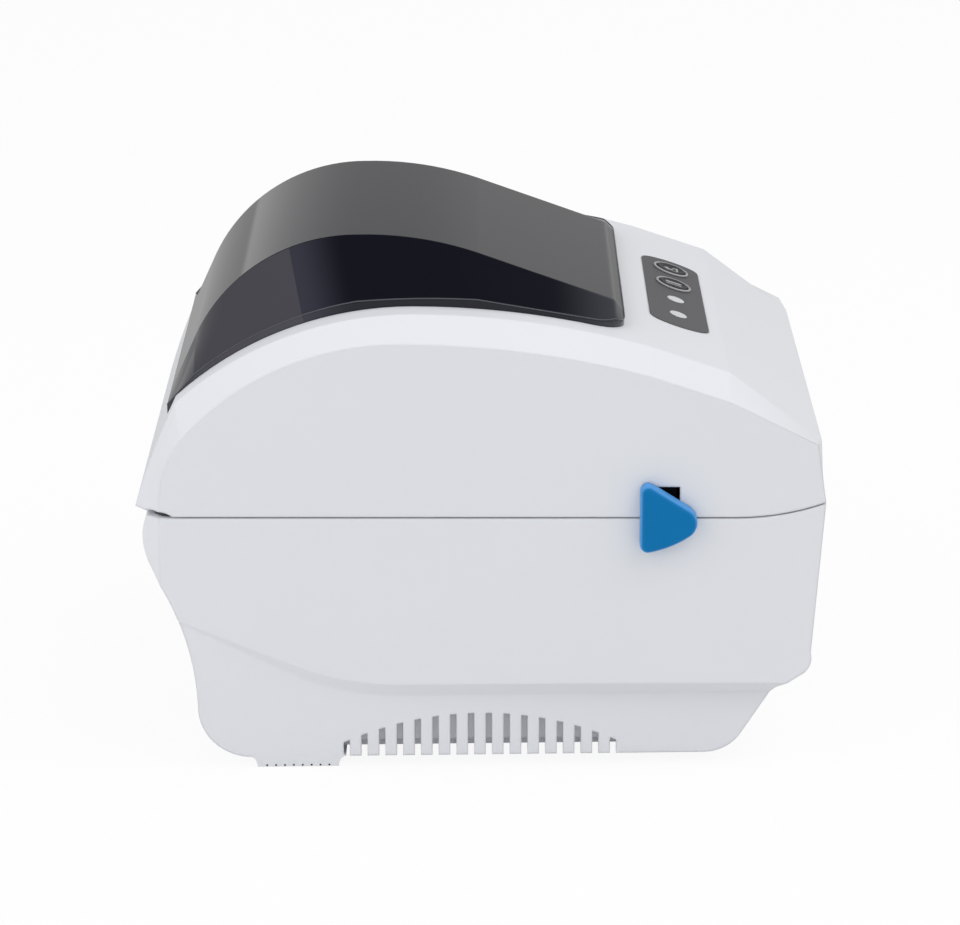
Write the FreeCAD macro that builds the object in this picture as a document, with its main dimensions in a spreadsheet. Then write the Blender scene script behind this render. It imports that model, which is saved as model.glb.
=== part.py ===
import FreeCAD
import Part
import Sketcher
import math
import os
import re
from FreeCAD import Placement, Rotation, Vector

# Desktop thermal label printer as separate pieces, in millimetres.
# The front faces -Y, +Z is up, and the origin lies on the table under the middle.

# Driving sizes: name, value and what it measures.
SIZES = [
    ("body_width", 172.0, "across the side walls"),
    ("body_depth", 222.0, "tear bar to rear lip of the lid"),
    ("body_height", 170.2, "table to the crown of the window"),
    ("shell_wall", 2.5, "casing wall"),
    ("fit_gap", 0.3, "clearance between loose pieces"),
    ("run_gap", 0.05, "radial clearance of a running fit"),
    ("seam_height", 86.0, "parting line of base and lid"),
    ("seam_gap", 0.5, "slit at the parting line"),
    ("seam_rise", 5.0, "rise of the parting line at the front"),
    ("seam_run", 28.5, "length of that rise"),
    ("seam_arc", 83.7, "radius of that rise"),
    ("front_draft", 3.6, "lean of the front wall"),
    ("nose_top", 40.0, "upper end of the nose rounding"),
    ("nose_low", 32.4, "lower end of the nose rounding"),
    ("nose_run", 6.7, "depth of the nose rounding"),
    ("nose_arc", 6.5, "radius of the nose rounding"),
    ("kick_height", 27.2, "top of the kick slope"),
    ("kick_run", 14.4, "front to the kick slope"),
    ("toe_height", 9.6, "foot of the kick slope"),
    ("toe_run", 25.6, "front to the foot of the kick slope"),
    ("toe_arc", 14.0, "rounding under the kick slope"),
    ("skirt_low", 3.5, "lower edge of the skirt"),
    ("skirt_front", 36.8, "front to the flat lower edge"),
    ("skirt_rear", 35.6, "rear lip to the flat lower edge"),
    ("heel_height", 21.5, "top of the heel rounding"),
    ("heel_run", 19.4, "rear lip to the heel"),
    ("heel_arc", 17.4, "heel rounding"),
    ("hollow_arc", 90.0, "hollow of the rear wall"),
    ("bulge_low", 16.5, "parting line down to the lower end of the rear bulge"),
    ("bulge_run", 4.3, "rear lip to the ends of the bulge"),
    ("bulge_arc", 17.0, "rounding of the rear bulge"),
    ("notch_run", 7.4, "rear lip to the rear end of the seam"),
    ("relief_height", 30.0, "upper edge of the side crease"),
    ("relief_drop", 5.4, "height of the crease bevel"),
    ("relief_bend", 26.0, "where the crease starts to rise"),
    ("relief_arc", 85.0, "bend of the crease"),
    ("relief_slope", 22.5, "rise of the crease at the rear, degrees"),
    ("skirt_inset", 6.2, "inset of the skirt at the front"),
    ("vent_count", 16, "slots on each side"),
    ("vent_pitch", 5.8, "distance between slots"),
    ("vent_width", 2.0, "width of a slot"),
    ("vent_top", 18.0, "top of the middle slots"),
    ("vent_arc", 105.0, "arch over the slots"),
    ("bevel_width", 10.6, "side bevel of the lid, across"),
    ("crown_height", 150.8, "crown of the lid"),
    ("crown_place", 22.0, "crown behind the middle"),
    ("crown_arc", 113.0, "lid arc behind the crown"),
    ("brow_arc", 279.0, "lid arc before the crown"),
    ("brow_run", 56.3, "front to the straight slope"),
    ("brow_height", 140.2, "upper end of the straight slope"),
    ("facet_run", 30.9, "front to the front facet"),
    ("facet_height", 131.7, "top of the front facet"),
    ("chin_run", 1.0, "lean of the lid's front wall"),
    ("chin_height", 109.0, "top of the lid's front wall"),
    ("lip_height", 0.8, "underside of the rear lip above the parting line"),
    ("lip_arc", 220.0, "curve of the rear wall of the lid"),
    ("shoulder_run", 13.2, "lean of the rear wall of the lid"),
    ("shoulder_height", 121.0, "top of the rear wall of the lid"),
    ("side_drop", 6.9, "side arch under the crown"),
    ("side_rear", 8.2, "side arch behind the rear lip"),
    ("side_shoulder", 15.8, "rear lip to the shoulder of the side arch"),
    ("side_shoulder_height", 112.4, "shoulder of the side arch"),
    ("side_rear_arc", 40.0, "rear curve of the side arch"),
    ("side_crown_arc", 92.0, "side arch behind the crown"),
    ("side_brow_arc", 300.0, "side arch before the crown"),
    ("side_chin_run", 3.0, "front to the end of the side arch"),
    ("side_chin_height", 110.8, "front end of the side arch"),
    ("window_width", 132.0, "window rim"),
    ("window_top_width", 100.0, "top face of the window"),
    ("window_wall", 2.5, "window thickness"),
    ("window_rear", 10.3, "rear lip to the window"),
    ("window_rear_height", 118.0, "rear edge of the window"),
    ("window_back_run", 18.9, "rear lip to the top of the rear face"),
    ("window_back_height", 136.9, "top of the rear face of the window"),
    ("window_crown", 39.5, "crown of the window behind the middle"),
    ("window_rear_arc", 58.0, "window arc behind its crown"),
    ("window_front_arc", 110.0, "window arc before its crown"),
    ("window_slope", 1.0, "upper end of the window slope, behind the middle"),
    ("window_slope_height", 164.3, "upper end of the window slope"),
    ("window_end", 43.5, "lower end of the window slope, before the middle"),
    ("window_end_height", 148.4, "lower end of the window slope"),
    ("window_front", 46.5, "front edge of the window, before the middle"),
    ("rim_rise", 3.0, "window rim above the lid"),
    ("window_corner", 10.0, "rounded front corners of the window"),
    ("opening_margin", 8.0, "window rim to the opening under it"),
    ("panel_length", 75.0, "control panel, between the ends of its long edges"),
    ("panel_width", 20.4, "control panel across its length"),
    ("panel_arc", 18.2, "round ends of the control panel"),
    ("panel_corner", 3.0, "rounded corners of the control panel"),
    ("panel_depth", 1.2, "recess of the control panel"),
    ("panel_proud", 0.3, "control panel above the lid"),
    ("panel_place", 11.8, "start of the slope to the panel's middle, along the slope"),
    ("button_radius", 4.9, "button cap"),
    ("button_place", 19.2, "middle to the buttons"),
    ("button_pitch", 19.0, "distance of the two buttons"),
    ("button_proud", 0.9, "button above the panel"),
    ("button_travel", 0.8, "stroke of a button"),
    ("button_flange", 6.4, "collar under a button"),
    ("collar_thick", 1.0, "thickness of that collar"),
    ("ring_width", 0.9, "raised ring round a button"),
    ("ring_proud", 0.5, "height of that ring"),
    ("led_radius", 3.0, "status light"),
    ("led_place", 17.2, "middle to the status lights"),
    ("led_pitch", 18.2, "distance of the two status lights"),
    ("led_proud", 0.4, "status light above the panel"),
    ("board_thick", 1.6, "circuit board"),
    ("panel_board_drop", 8.5, "panel to its circuit board"),
    ("switch_height", 3.2, "key switch"),
    ("switch_side", 6.0, "side of a key switch"),
    ("post_radius", 3.5, "screw post"),
    ("screw_radius", 1.5, "screw shank"),
    ("screw_head", 2.8, "screw head radius"),
    ("head_thick", 1.6, "screw head thickness"),
    ("screw_bite", 9.0, "screw length in its post"),
    ("hinge_inset", 8.0, "rear lip to the hinge axis"),
    ("hinge_height", 5.0, "parting line down to the hinge axis"),
    ("hinge_pin", 1.5, "hinge pin radius"),
    ("hinge_barrel", 3.0, "hinge lug radius"),
    ("hinge_place", 70.0, "middle to a hinge lug"),
    ("hinge_thick", 6.0, "hinge lug thickness"),
    ("hinge_clear", 7.2, "room swept round the hinge axis"),
    ("latch_pivot_run", 50.4, "front to the latch pivot"),
    ("latch_pivot_height", 18.5, "latch pivot above the parting line"),
    ("latch_pin", 2.0, "latch pivot pin radius"),
    ("latch_eye", 5.0, "eye of the latch lever"),
    ("lever_thick", 3.2, "latch lever"),
    ("lever_width", 6.0, "latch lever shank"),
    ("knob_rear", 59.4, "front to the rear edge of the latch knob"),
    ("knob_tip", 37.6, "front to the tip of the latch knob"),
    ("knob_top", 14.4, "upper corner of the latch knob above the parting line"),
    ("knob_low", 10.6, "parting line down to the lower corner of the latch knob"),
    ("knob_mid", 0.5, "tip of the latch knob above the parting line"),
    ("knob_thick", 4.7, "latch knob"),
    ("knob_corner", 2.5, "rear corners of the knob"),
    ("knob_nose", 5.5, "tip rounding of the knob"),
    ("knob_arc", 34.0, "bulge of the knob's lower edge"),
    ("knob_edge", 1.4, "softened outer edge of the knob"),
    ("slot_rear", 58.6, "front to the rear end of the latch slot"),
    ("slot_front", 46.7, "front to the front end of the latch slot"),
    ("slot_top", 10.7, "top of the latch slot above the parting line"),
    ("stem_width", 5.0, "latch stem in its slot"),
    ("keeper_radius", 2.0, "keeper pin"),
    ("keeper_height", 12.0, "parting line down to the keeper pin"),
    ("hook_thick", 4.0, "nose of the latch hook"),
    ("hook_reach", 1.8, "nose of the hook beside its shank"),
    ("deck_height", 6.5, "parting line down to the top of the tray deck"),
    ("deck_thick", 2.5, "tray deck"),
    ("media_width", 120.0, "room for the label roll, across"),
    ("roll_radius", 62.0, "room for the label roll"),
    ("roll_height", 96.0, "axis of the label roll"),
    ("roll_place", 25.0, "axis of the label roll, behind the middle"),
    ("holder_place", 52.0, "middle to a roll holder, inner face"),
    ("holder_thick", 4.0, "roll holder arm"),
    ("holder_leg", 7.0, "leg of a roll holder"),
    ("holder_half", 17.0, "roll holder, half width"),
    ("holder_shoulder", 40.0, "start of the wide part of a roll holder"),
    ("hub_disc", 16.0, "hub disc radius"),
    ("hub_disc_thick", 2.0, "hub disc"),
    ("hub_nose", 12.5, "hub spigot radius at its root"),
    ("hub_tip", 10.0, "hub spigot radius at its tip"),
    ("hub_length", 8.0, "hub spigot"),
    ("hub_axle", 3.0, "hub axle radius"),
    ("rack_module", 1.0, "module of the centring racks"),
    ("centring_teeth", 12, "teeth of the centring pinion"),
    ("rack_teeth", 18, "teeth of a rack"),
    ("rack_low", 25.0, "underside of the racks"),
    ("rack_thick", 5.0, "height of the racks"),
    ("rack_back", 4.0, "rack behind its teeth"),
    ("rack_overrun", 9.0, "rack past the middle"),
    ("rack_tray_wall", 1.8, "rack tray"),
    ("centring_stud", 2.0, "stud of the centring pinion"),
    ("platen_run", 16.5, "front to the platen axis"),
    ("platen_height", 3.5, "parting line down to the platen axis"),
    ("platen_radius", 8.0, "platen rubber"),
    ("platen_length", 112.0, "platen rubber"),
    ("platen_shaft", 3.0, "platen shaft radius"),
    ("bush_radius", 5.0, "platen bush"),
    ("bush_thick", 4.0, "platen bush"),
    ("frame_thick", 2.0, "steel mechanism frame"),
    ("frame_place", 62.5, "middle to the cheeks of the frame"),
    ("frame_floor", 12.5, "platen axis down to the underside of the mechanism frame"),
    ("gear_module", 0.8, "module of the drive gears"),
    ("gear_thick", 3.5, "drive gear"),
    ("gear_gap", 1.5, "cheek to the first gear"),
    ("gear_step", 0.6, "between the two gear planes"),
    ("platen_teeth", 30, "platen gear"),
    ("idler_small", 16, "small wheel of the idler"),
    ("idler_large", 32, "large wheel of the idler"),
    ("motor_teeth", 14, "motor pinion"),
    ("idler_angle", -80.0, "platen to idler, degrees"),
    ("motor_angle", -25.0, "idler to motor, degrees"),
    ("idler_stud", 2.0, "idler stud radius"),
    ("motor_radius", 17.5, "motor can"),
    ("motor_length", 22.0, "motor can"),
    ("motor_shaft", 1.5, "motor shaft radius"),
    ("tooth_backlash", 0.12, "thinning of each tooth at the pitch circle"),
    ("tear_proud", 0.5, "tear bar before the front wall"),
    ("tear_width", 119.0, "tear bar"),
    ("tear_low", 9.2, "height of the tear bar"),
    ("tear_thick", 3.4, "tear bar"),
    ("tear_pitch", 2.0, "teeth of the tear bar"),
    ("tear_tooth", 0.9, "height of those teeth"),
    ("mouth_top", 5.5, "height of the label mouth"),
    ("head_gap", 0.3, "platen to print head"),
    ("element_thick", 1.0, "ceramic of the print head"),
    ("element_depth", 14.0, "ceramic of the print head"),
    ("element_lead", 9.0, "ceramic before the print line"),
    ("sink_thick", 6.0, "heat sink"),
    ("sink_depth", 22.0, "heat sink"),
    ("sink_half", 57.5, "heat sink, half width"),
    ("fin_count", 4, "grooves of the heat sink"),
    ("fin_pitch", 4.4, "distance of the grooves"),
    ("fin_width", 2.2, "width of a groove"),
    ("fin_depth", 2.6, "depth of a groove"),
    ("head_pivot_run", 21.0, "print line to the head pivot"),
    ("head_pivot_height", 13.5, "head pivot above the platen axis"),
    ("head_pin", 2.0, "head pivot radius"),
    ("head_eye", 4.0, "eye of the head lugs"),
    ("lug_thick", 5.0, "head lugs"),
    ("lug_place", 48.0, "middle to the head lugs"),
    ("carrier_height", 24.0, "underside of the head carrier above the platen axis"),
    ("carrier_thick", 1.5, "head carrier sheet"),
    ("carrier_half", 63.0, "head carrier, half width"),
    ("carrier_rear", 8.0, "head pivot to the rear edge of the carrier"),
    ("carrier_post", 51.0, "middle to the carrier posts"),
    ("spring_radius", 3.6, "head spring, middle of the wire"),
    ("spring_wire", 0.45, "head spring wire radius"),
    ("spring_turns", 4, "head spring turns"),
    ("spring_place", 30.0, "middle to a head spring"),
    ("plate_low", 5.8, "underside of the bottom plate"),
    ("plate_thick", 2.2, "bottom plate"),
    ("plate_margin", 1.5, "bottom plate to the skirt"),
    ("guard_thick", 2.2, "upstands behind the cooling slots"),
    ("foot_length", 26.5, "rear foot"),
    ("foot_width", 14.0, "rear foot"),
    ("foot_place", 64.9, "rear lip to the front end of a rear foot"),
    ("foot_rib", 2.9, "pitch of the foot notches"),
    ("foot_notch", 1.4, "width of a foot notch"),
    ("pad_length", 22.0, "front foot"),
    ("pad_width", 14.0, "front foot"),
    ("board_low", 12.0, "underside of the main board"),
    ("board_half", 50.0, "main board, half width"),
    ("board_front", 2.0, "front edge of the main board, behind the middle"),
    ("board_back", 26.0, "rear lip to the rear edge of the main board"),
    ("usb_place", 30.0, "data socket, right of the middle"),
    ("usb_width", 12.0, "data socket"),
    ("usb_height", 10.8, "data socket"),
    ("jack_place", 4.0, "power jack, right of the middle"),
    ("jack_side", 10.0, "power jack"),
    ("jack_bore", 3.1, "power jack bore radius"),
    ("jack_pin", 1.0, "power jack pin radius"),
    ("port_length", 15.0, "sockets, front to rear"),
    ("rocker_place", -34.0, "power switch, left of the middle"),
    ("rocker_width", 18.0, "power switch key"),
    ("rocker_height", 9.0, "power switch key"),
    ("rocker_low", 22.0, "underside of the power switch key"),
    ("rocker_wall", 1.8, "power switch frame"),
    ("rocker_depth", 14.0, "power switch frame"),
    ("rocker_tilt", 8.0, "power switch key at rest, degrees"),
    ("sensor_place", 60.0, "label sensor before the middle"),
    ("sensor_length", 14.0, "label sensor"),
    ("sensor_width", 10.0, "label sensor"),
    ("sensor_side", 24.0, "label sensor, right of the middle"),
]

# Places that follow from the sizes.
FORMULAS = {
    "half": "body_width / 2",
    "rear": "body_depth / 2",
    "front": "tear_proud - body_depth / 2",
    "inside": "half - shell_wall",
    "lid_low": "seam_height + seam_gap",
    "lid_front_low": "seam_height + seam_rise + seam_gap",
    "tear_under": "lid_front_low - tear_low",
    "mouth_z": "lid_front_low + mouth_top",
    "relief_span": "rear - notch_run - front",
    "skirt_lean": "skirt_inset / relief_span",
    "relief_end": "relief_bend + relief_arc * sin(relief_slope)",
    "relief_end_height": "relief_height + relief_arc * (1 - cos(relief_slope))",
    "relief_far": "rear + shell_wall",
    "relief_far_height": "relief_end_height + (relief_far - relief_end) * tan(relief_slope)",
    "bevel_edge": "half - bevel_width",
    "hinge_y": "rear - hinge_inset",
    "hinge_z": "seam_height - hinge_height",
    "bulge_z": "seam_height - bulge_low",
    "lip_z": "seam_height + lip_height",
    "slope_angle": "atan((brow_height - facet_height) / (brow_run - facet_run))",
    "slope_y": "front + brow_run",
    "panel_half": "panel_length / 2",
    "panel_edge": "panel_width / 2",
    "panel_bow": (
        "sqrt(panel_arc ^ 2 - (panel_edge - panel_corner) ^ 2)"
        " - sqrt(panel_arc ^ 2 - panel_edge ^ 2)"
    ),
    "panel_turn": "((panel_corner + panel_bow) ^ 2 + panel_corner ^ 2) / (2 * panel_corner)",
    "board_n": "0 - panel_board_drop",
    "cap_low": "0 - shell_wall - fit_gap",
    "latch_y": "front + latch_pivot_run",
    "latch_z": "seam_height + latch_pivot_height",
    "knob_top_z": "seam_height + knob_top",
    "knob_mid_z": "seam_height + knob_mid",
    "knob_low_z": "seam_height - knob_low",
    "slot_z": "seam_height + slot_top",
    "keeper_z": "seam_height - keeper_height",
    "lever_high": "inside - fit_gap * 3",
    "lever_low": "lever_high - lever_thick",
    "keeper_y": "latch_y + lever_width / 2 + hook_reach + fit_gap * 1.5 + keeper_radius",
    "deck_top": "seam_height - deck_height",
    "deck_low": "deck_top - deck_thick",
    "bay": "media_width / 2",
    "tray_out": "bay + deck_thick",
    "trough_out": "roll_radius + deck_thick",
    "pinion_pitch": "rack_module * centring_teeth / 2",
    "rack_top": "rack_low + rack_thick",
    "rack_line": "roll_place - pinion_pitch",
    "rack_edge": "rack_line - 1.1 * rack_module - rack_back",
    "holder_out": "holder_place + holder_thick",
    "platen_y": "front + platen_run",
    "platen_z": "seam_height - platen_height",
    "platen_top": "platen_z + platen_radius",
    "frame_low": "platen_z - frame_floor",
    "frame_out": "frame_place + frame_thick",
    "gear_near": "frame_out + gear_gap",
    "gear_mid": "gear_near + gear_thick",
    "gear_far": "gear_mid + gear_step",
    "gear_end": "gear_far + gear_thick",
    "idler_reach": "gear_module * (platen_teeth + idler_small) / 2",
    "motor_reach": "gear_module * (idler_large + motor_teeth) / 2",
    "idler_y": "platen_y + idler_reach * cos(idler_angle)",
    "idler_z": "platen_z + idler_reach * sin(idler_angle)",
    "motor_y": "idler_y + motor_reach * cos(motor_angle)",
    "motor_z": "idler_z + motor_reach * sin(motor_angle)",
    "element_low": "platen_top + head_gap",
    "sink_low": "element_low + element_thick",
    "sink_top": "sink_low + sink_thick",
    "sink_front": "platen_y - element_lead",
    "head_pivot_y": "platen_y + head_pivot_run",
    "head_pivot_z": "platen_z + head_pivot_height",
    "carrier_low": "platen_z + carrier_height",
    "carrier_top": "carrier_low + carrier_thick",
    "carrier_front": "sink_front",
    "carrier_back": "head_pivot_y + carrier_rear",
    "plate_top": "plate_low + plate_thick",
    "board_top": "board_low + board_thick",
    "board_rear": "rear - board_back",
    "heel_y": "rear - heel_run",
    "foot_y": "rear - foot_place",
    "rocker_top": "rocker_low + rocker_height",
}

doc = FreeCAD.newDocument("label_printer")
sheet = doc.addObject("Spreadsheet::Sheet", "Dims")
nodes = {}
ALONG = {
    "X": Rotation(Vector(0, 1, 0), 90),
    "Y": Rotation(Vector(1, 0, 0), -90),
    "Z": Rotation(),
}
SIDEWAYS = Rotation(Vector(0, 1, 0), Vector(0, 0, 1), Vector(1, 0, 0))


def fill_sheet():
    for row, (name, value, meaning) in enumerate(SIZES, 1):
        sheet.set(f"A{row}", meaning)
        sheet.set(f"B{row}", str(value))
        sheet.setAlias(f"B{row}", name)
    doc.recompute()


ALIASES = {name for name, value, meaning in SIZES}


def expand(text):
    """An expression on the sheet's cells, from names of sizes and places."""
    def spell(match):
        word = match.group(0)
        if word in FORMULAS:
            return "(" + expand(FORMULAS[word]) + ")"
        return "Dims." + word if word in ALIASES else word
    return re.sub(r"[a-z_]+", spell, str(text))


def bind(item, target, text):
    item.setExpression(target, expand(text))


def number(text):
    return float(sheet.evalExpression(expand(text)))


def put(item, x="0", y="0", z="0"):
    for letter, text in zip("xyz", (x, y, z)):
        bind(item, f"Placement.Base.{letter}", text)
    return item


def node(name, item):
    """Keep this item as the sub-part of that name."""
    item.Label = name
    nodes[name] = item
    return item


def box(name, x, y, z):
    """A block between two places along each axis."""
    item = doc.addObject("Part::Box", name)
    for target, (low, high) in zip(("Length", "Width", "Height"), (x, y, z)):
        bind(item, target, f"({high}) - ({low})")
    return put(item, x[0], y[0], z[0])


def rod(name, axis, span, across, radius):
    """A cylinder along an axis, at two places across it, given in X, Y, Z order."""
    item = doc.addObject("Part::Cylinder", name)
    item.Placement = Placement(Vector(), ALONG[axis])
    bind(item, "Height", f"({span[1]}) - ({span[0]})")
    bind(item, "Radius", radius)
    place = list(across)
    place.insert("XYZ".index(axis), span[0])
    return put(item, *place)


def cone(name, axis, span, across, radii):
    item = doc.addObject("Part::Cone", name)
    item.Placement = Placement(Vector(), ALONG[axis])
    bind(item, "Height", f"({span[1]}) - ({span[0]})")
    bind(item, "Radius1", radii[0])
    bind(item, "Radius2", radii[1])
    place = list(across)
    place.insert("XYZ".index(axis), span[0])
    return put(item, *place)


def join(name, *items):
    item = doc.addObject("Part::MultiFuse", name)
    item.Shapes = list(items)
    item.Refine = True
    return item


def shared(name, *items):
    item = doc.addObject("Part::MultiCommon", name)
    item.Shapes = list(items)
    return item


def group(name, *items):
    item = doc.addObject("Part::Compound", name)
    item.Links = list(items)
    return item


def cut(name, base, *tools):
    item = doc.addObject("Part::Cut", name)
    item.Base = base
    item.Tool = tools[0] if len(tools) == 1 else join(name + "_tools", *tools)
    return item


def mirrored(name, source):
    item = doc.addObject("Part::Mirroring", name)
    item.Source = source
    item.Normal = Vector(1, 0, 0)
    return item


def arc_through(start, end, radius):
    """The short arc between two points; a negative radius turns clockwise."""
    chord = end - start
    middle = (start + end) * 0.5
    left = Vector(-chord.y, chord.x, 0).normalize()
    half = chord.Length / 2
    centre = middle + left * math.copysign(math.sqrt(radius * radius - half * half), radius)
    towards = (middle - centre).normalize()
    return Part.ArcOfCircle(start, centre + towards * abs(radius), end)


def draw(sketch, corners):
    """A closed outline: each corner is (across, up) or (across, up, radius of the arc that follows)."""
    points = [Vector(number(c[0]), number(c[1]), 0) for c in corners]
    ends = []
    for index, corner in enumerate(corners):
        start = points[index]
        end = points[(index + 1) % len(points)]
        if len(corner) == 2:
            edge = sketch.addGeometry(Part.LineSegment(start, end))
            ends.append((edge, 1, 2))
            continue
        radius = number(corner[2])
        edge = sketch.addGeometry(arc_through(start, end, radius))
        ends.append((edge, 1, 2) if radius > 0 else (edge, 2, 1))
        rule = sketch.addConstraint(Sketcher.Constraint("Radius", edge, abs(radius)))
        bind(sketch, f"Constraints[{rule}]", f"abs({corner[2]})")
    for index, corner in enumerate(corners):
        edge, first, last = ends[index]
        before = ends[index - 1]
        sketch.addConstraint(Sketcher.Constraint("Coincident", before[0], before[2], edge, first))
        for kind, text, value in (("DistanceX", corner[0], points[index].x),
                                  ("DistanceY", corner[1], points[index].y)):
            rule = sketch.addConstraint(Sketcher.Constraint(kind, -1, 1, edge, first, value))
            bind(sketch, f"Constraints[{rule}]", text)


def outline(body, name, plane, corners, offset="0"):
    """A sketch on an origin plane of its body, moved along that plane's normal."""
    sketch = body.newObject("Sketcher::SketchObject", name)
    support = [f for f in body.Origin.OriginFeatures if f.Role == plane + "_Plane"][0]
    sketch.AttachmentSupport = [(support, "")]
    sketch.MapMode = "FlatFace"
    bind(sketch, "AttachmentOffset.Base.z", offset)
    draw(sketch, corners)
    return sketch


def prism(name, plane, corners, low, high):
    """A pad of one outline between two places along the plane's normal."""
    body = doc.addObject("PartDesign::Body", name)
    sketch = outline(body, name + "_outline", plane, corners, low)
    pad = body.newObject("PartDesign::Pad", name + "_pad")
    pad.Profile = sketch
    bind(pad, "Length", f"({high}) - ({low})")
    return body


def loft(name, sections):
    """A ruled loft through outlines that stand square to X."""
    body = doc.addObject("PartDesign::Body", name)
    sketches = [outline(body, f"{name}_{k}", "YZ", corners, place)
                for k, (place, corners) in enumerate(sections)]
    feature = body.newObject("PartDesign::AdditiveLoft", name + "_loft")
    feature.Profile = sketches[0]
    feature.Sections = sketches[1:]
    feature.Ruled = True
    return body


def round_edges(body, name, radius, chosen):
    """Fillet those edges of a body's last feature that the test chooses."""
    doc.recompute()
    last = body.Tip
    names = [f"Edge{k}" for k, edge in enumerate(last.Shape.Edges, 1) if chosen(edge)]
    fillet = body.newObject("PartDesign::Fillet", name)
    fillet.Base = (last, names)
    bind(fillet, "Radius", radius)
    doc.recompute()


def lies_along(edge, axis):
    return edge.Curve.TypeId == "Part::GeomLine" and abs(edge.Curve.Direction.dot(axis)) > 0.999


def base_outline():
    """Side view of the lower casing."""
    return [
        ("rear - notch_run", "seam_height"),
        ("front + seam_run", "seam_height", "0 - seam_arc"),
        ("front", "seam_height + seam_rise"),
        ("front + front_draft", "nose_top", "nose_arc"),
        ("front + nose_run", "nose_low"),
        ("front + kick_run", "kick_height"),
        ("front + toe_run", "toe_height", "toe_arc"),
        ("front + skirt_front", "skirt_low"),
        ("rear - skirt_rear", "skirt_low", "heel_arc"),
        ("heel_y", "heel_height", "0 - hollow_arc"),
        ("rear - bulge_run", "bulge_z", "bulge_arc"),
        ("rear - bulge_run", "seam_height - seam_gap"),
    ]


def base_hollow_outline():
    """Side view of the space inside the lower casing, open above and below."""
    over = "seam_height + seam_rise + shell_wall"
    return [
        ("rear - bulge_run - shell_wall", over),
        ("front + shell_wall", over),
        ("front + front_draft + shell_wall", "nose_top", "nose_arc - shell_wall"),
        ("front + nose_run + shell_wall", "nose_low + shell_wall"),
        ("front + kick_run + shell_wall / 2", "kick_height + shell_wall"),
        ("front + toe_run + shell_wall", "toe_height + shell_wall / 2", "toe_arc - shell_wall"),
        ("front + skirt_front + shell_wall", "skirt_low + shell_wall"),
        ("front + skirt_front + shell_wall", "0"),
        ("rear - skirt_rear - shell_wall", "0"),
        ("rear - skirt_rear - shell_wall", "skirt_low + shell_wall", "heel_arc - shell_wall"),
        ("heel_y - shell_wall", "heel_height", "0 - hollow_arc - shell_wall"),
        ("rear - bulge_run - shell_wall", "bulge_z", "bulge_arc - shell_wall"),
        ("rear - bulge_run - shell_wall", "seam_height - seam_gap"),
    ]


def side_relief(name, grow):
    """What is taken off the right side below the crease; it runs out towards the rear."""
    near = "front - shell_wall * 4"
    low = "0 - shell_wall"

    def under(drop, far_drop):
        return [
            (near, f"relief_height + {grow} - {drop}"),
            ("relief_bend", f"relief_height + {grow} - {drop}", "relief_arc"),
            ("relief_end", f"relief_end_height + {grow} - {drop}"),
            ("relief_far", f"relief_far_height + {grow} - {far_drop}"),
            ("relief_far", low),
            (near, low),
        ]
    body = doc.addObject("PartDesign::Body", name)
    inner = outline(body, name + "_in", "YZ", under("relief_drop", "seam_gap"),
                    f"half - {grow} - skirt_lean * (rear - notch_run)")
    inner.AttachmentOffset = Placement(Vector(), Rotation(Vector(0, -1, 0), 1))
    bind(inner, "AttachmentOffset.Rotation.Angle", "atan(skirt_lean)")
    outer = outline(body, name + "_out", "YZ", under("0", "0"), "half + seam_gap")
    feature = body.newObject("PartDesign::AdditiveLoft", name + "_loft")
    feature.Profile = inner
    feature.Sections = [outer]
    feature.Ruled = True
    return body


def skirt_face(y):
    """Inner face of the skirt wall at a place along Y."""
    return f"(inside - skirt_lean * (rear - notch_run - ({y})))"


FRAME_POST = ("frame_place - motor_length - post_radius * 3", "platen_y + post_radius")


def deck_posts():
    """Four posts on the side walls under the deck, the right one of each pair first."""
    x = "inside - post_radius * 1.3"
    return [(f"{side} * ({x})", y) for y in ("latch_y - lever_width * 3",
                                             "rear - skirt_rear + post_radius * 2")
            for side in (1, -1)]


def plate_posts():
    """Four short posts over the bottom plate, each with the wall that its rib runs to."""
    front_y = "front + skirt_front + post_radius * 2"
    rear_y = "rear - skirt_rear - post_radius * 2.5"
    rear_x = f"{skirt_face(rear_y)} - foot_width - post_radius * 2.2"
    places = [("board_half * 0.8", front_y, "front + toe_run"), (rear_x, rear_y, "heel_y")]
    return [(f"{side} * ({x})", y, wall) for x, y, wall in places for side in (1, -1)]


def plate_fixings():
    return [(x, y) for x, y, wall in plate_posts()]


def vent_cutter():
    slots = []
    for k in range(round(number("vent_count"))):
        middle = f"vent_pitch * ({k} - (vent_count - 1) / 2)"
        slots.append(box(f"vent_slot_{k}", ("0 - half", "half"),
                         (f"{middle} - vent_width / 2", f"{middle} + vent_width / 2"),
                         ("0", "heel_height")))
    arch = rod("vent_arch", "X", ("0 - half", "half"), ("0", "vent_top - vent_arc"), "vent_arc")
    return shared("vents", group("vent_slots", *slots), arch)


def port_cutter():
    """Openings in the rear wall for the sockets and the power switch."""
    y = ("heel_y - shell_wall * 3", "rear")
    usb = box("usb_hole", ("usb_place - usb_width / 2 - fit_gap", "usb_place + usb_width / 2 + fit_gap"), y,
              ("board_top - fit_gap", "board_top + usb_height + fit_gap"))
    jack = rod("jack_hole", "Y", y, ("jack_place", "board_top + jack_side / 2"),
               "jack_side / 2 - fit_gap * 2")
    edge = "(rocker_wall + fit_gap * 2)"
    rocker = box("rocker_hole",
                 (f"rocker_place - rocker_width / 2 - {edge}", f"rocker_place + rocker_width / 2 + {edge}"),
                 y,
                 (f"rocker_low - {edge}", f"rocker_top + {edge}"))
    return join("ports", usb, jack, rocker)


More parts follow.
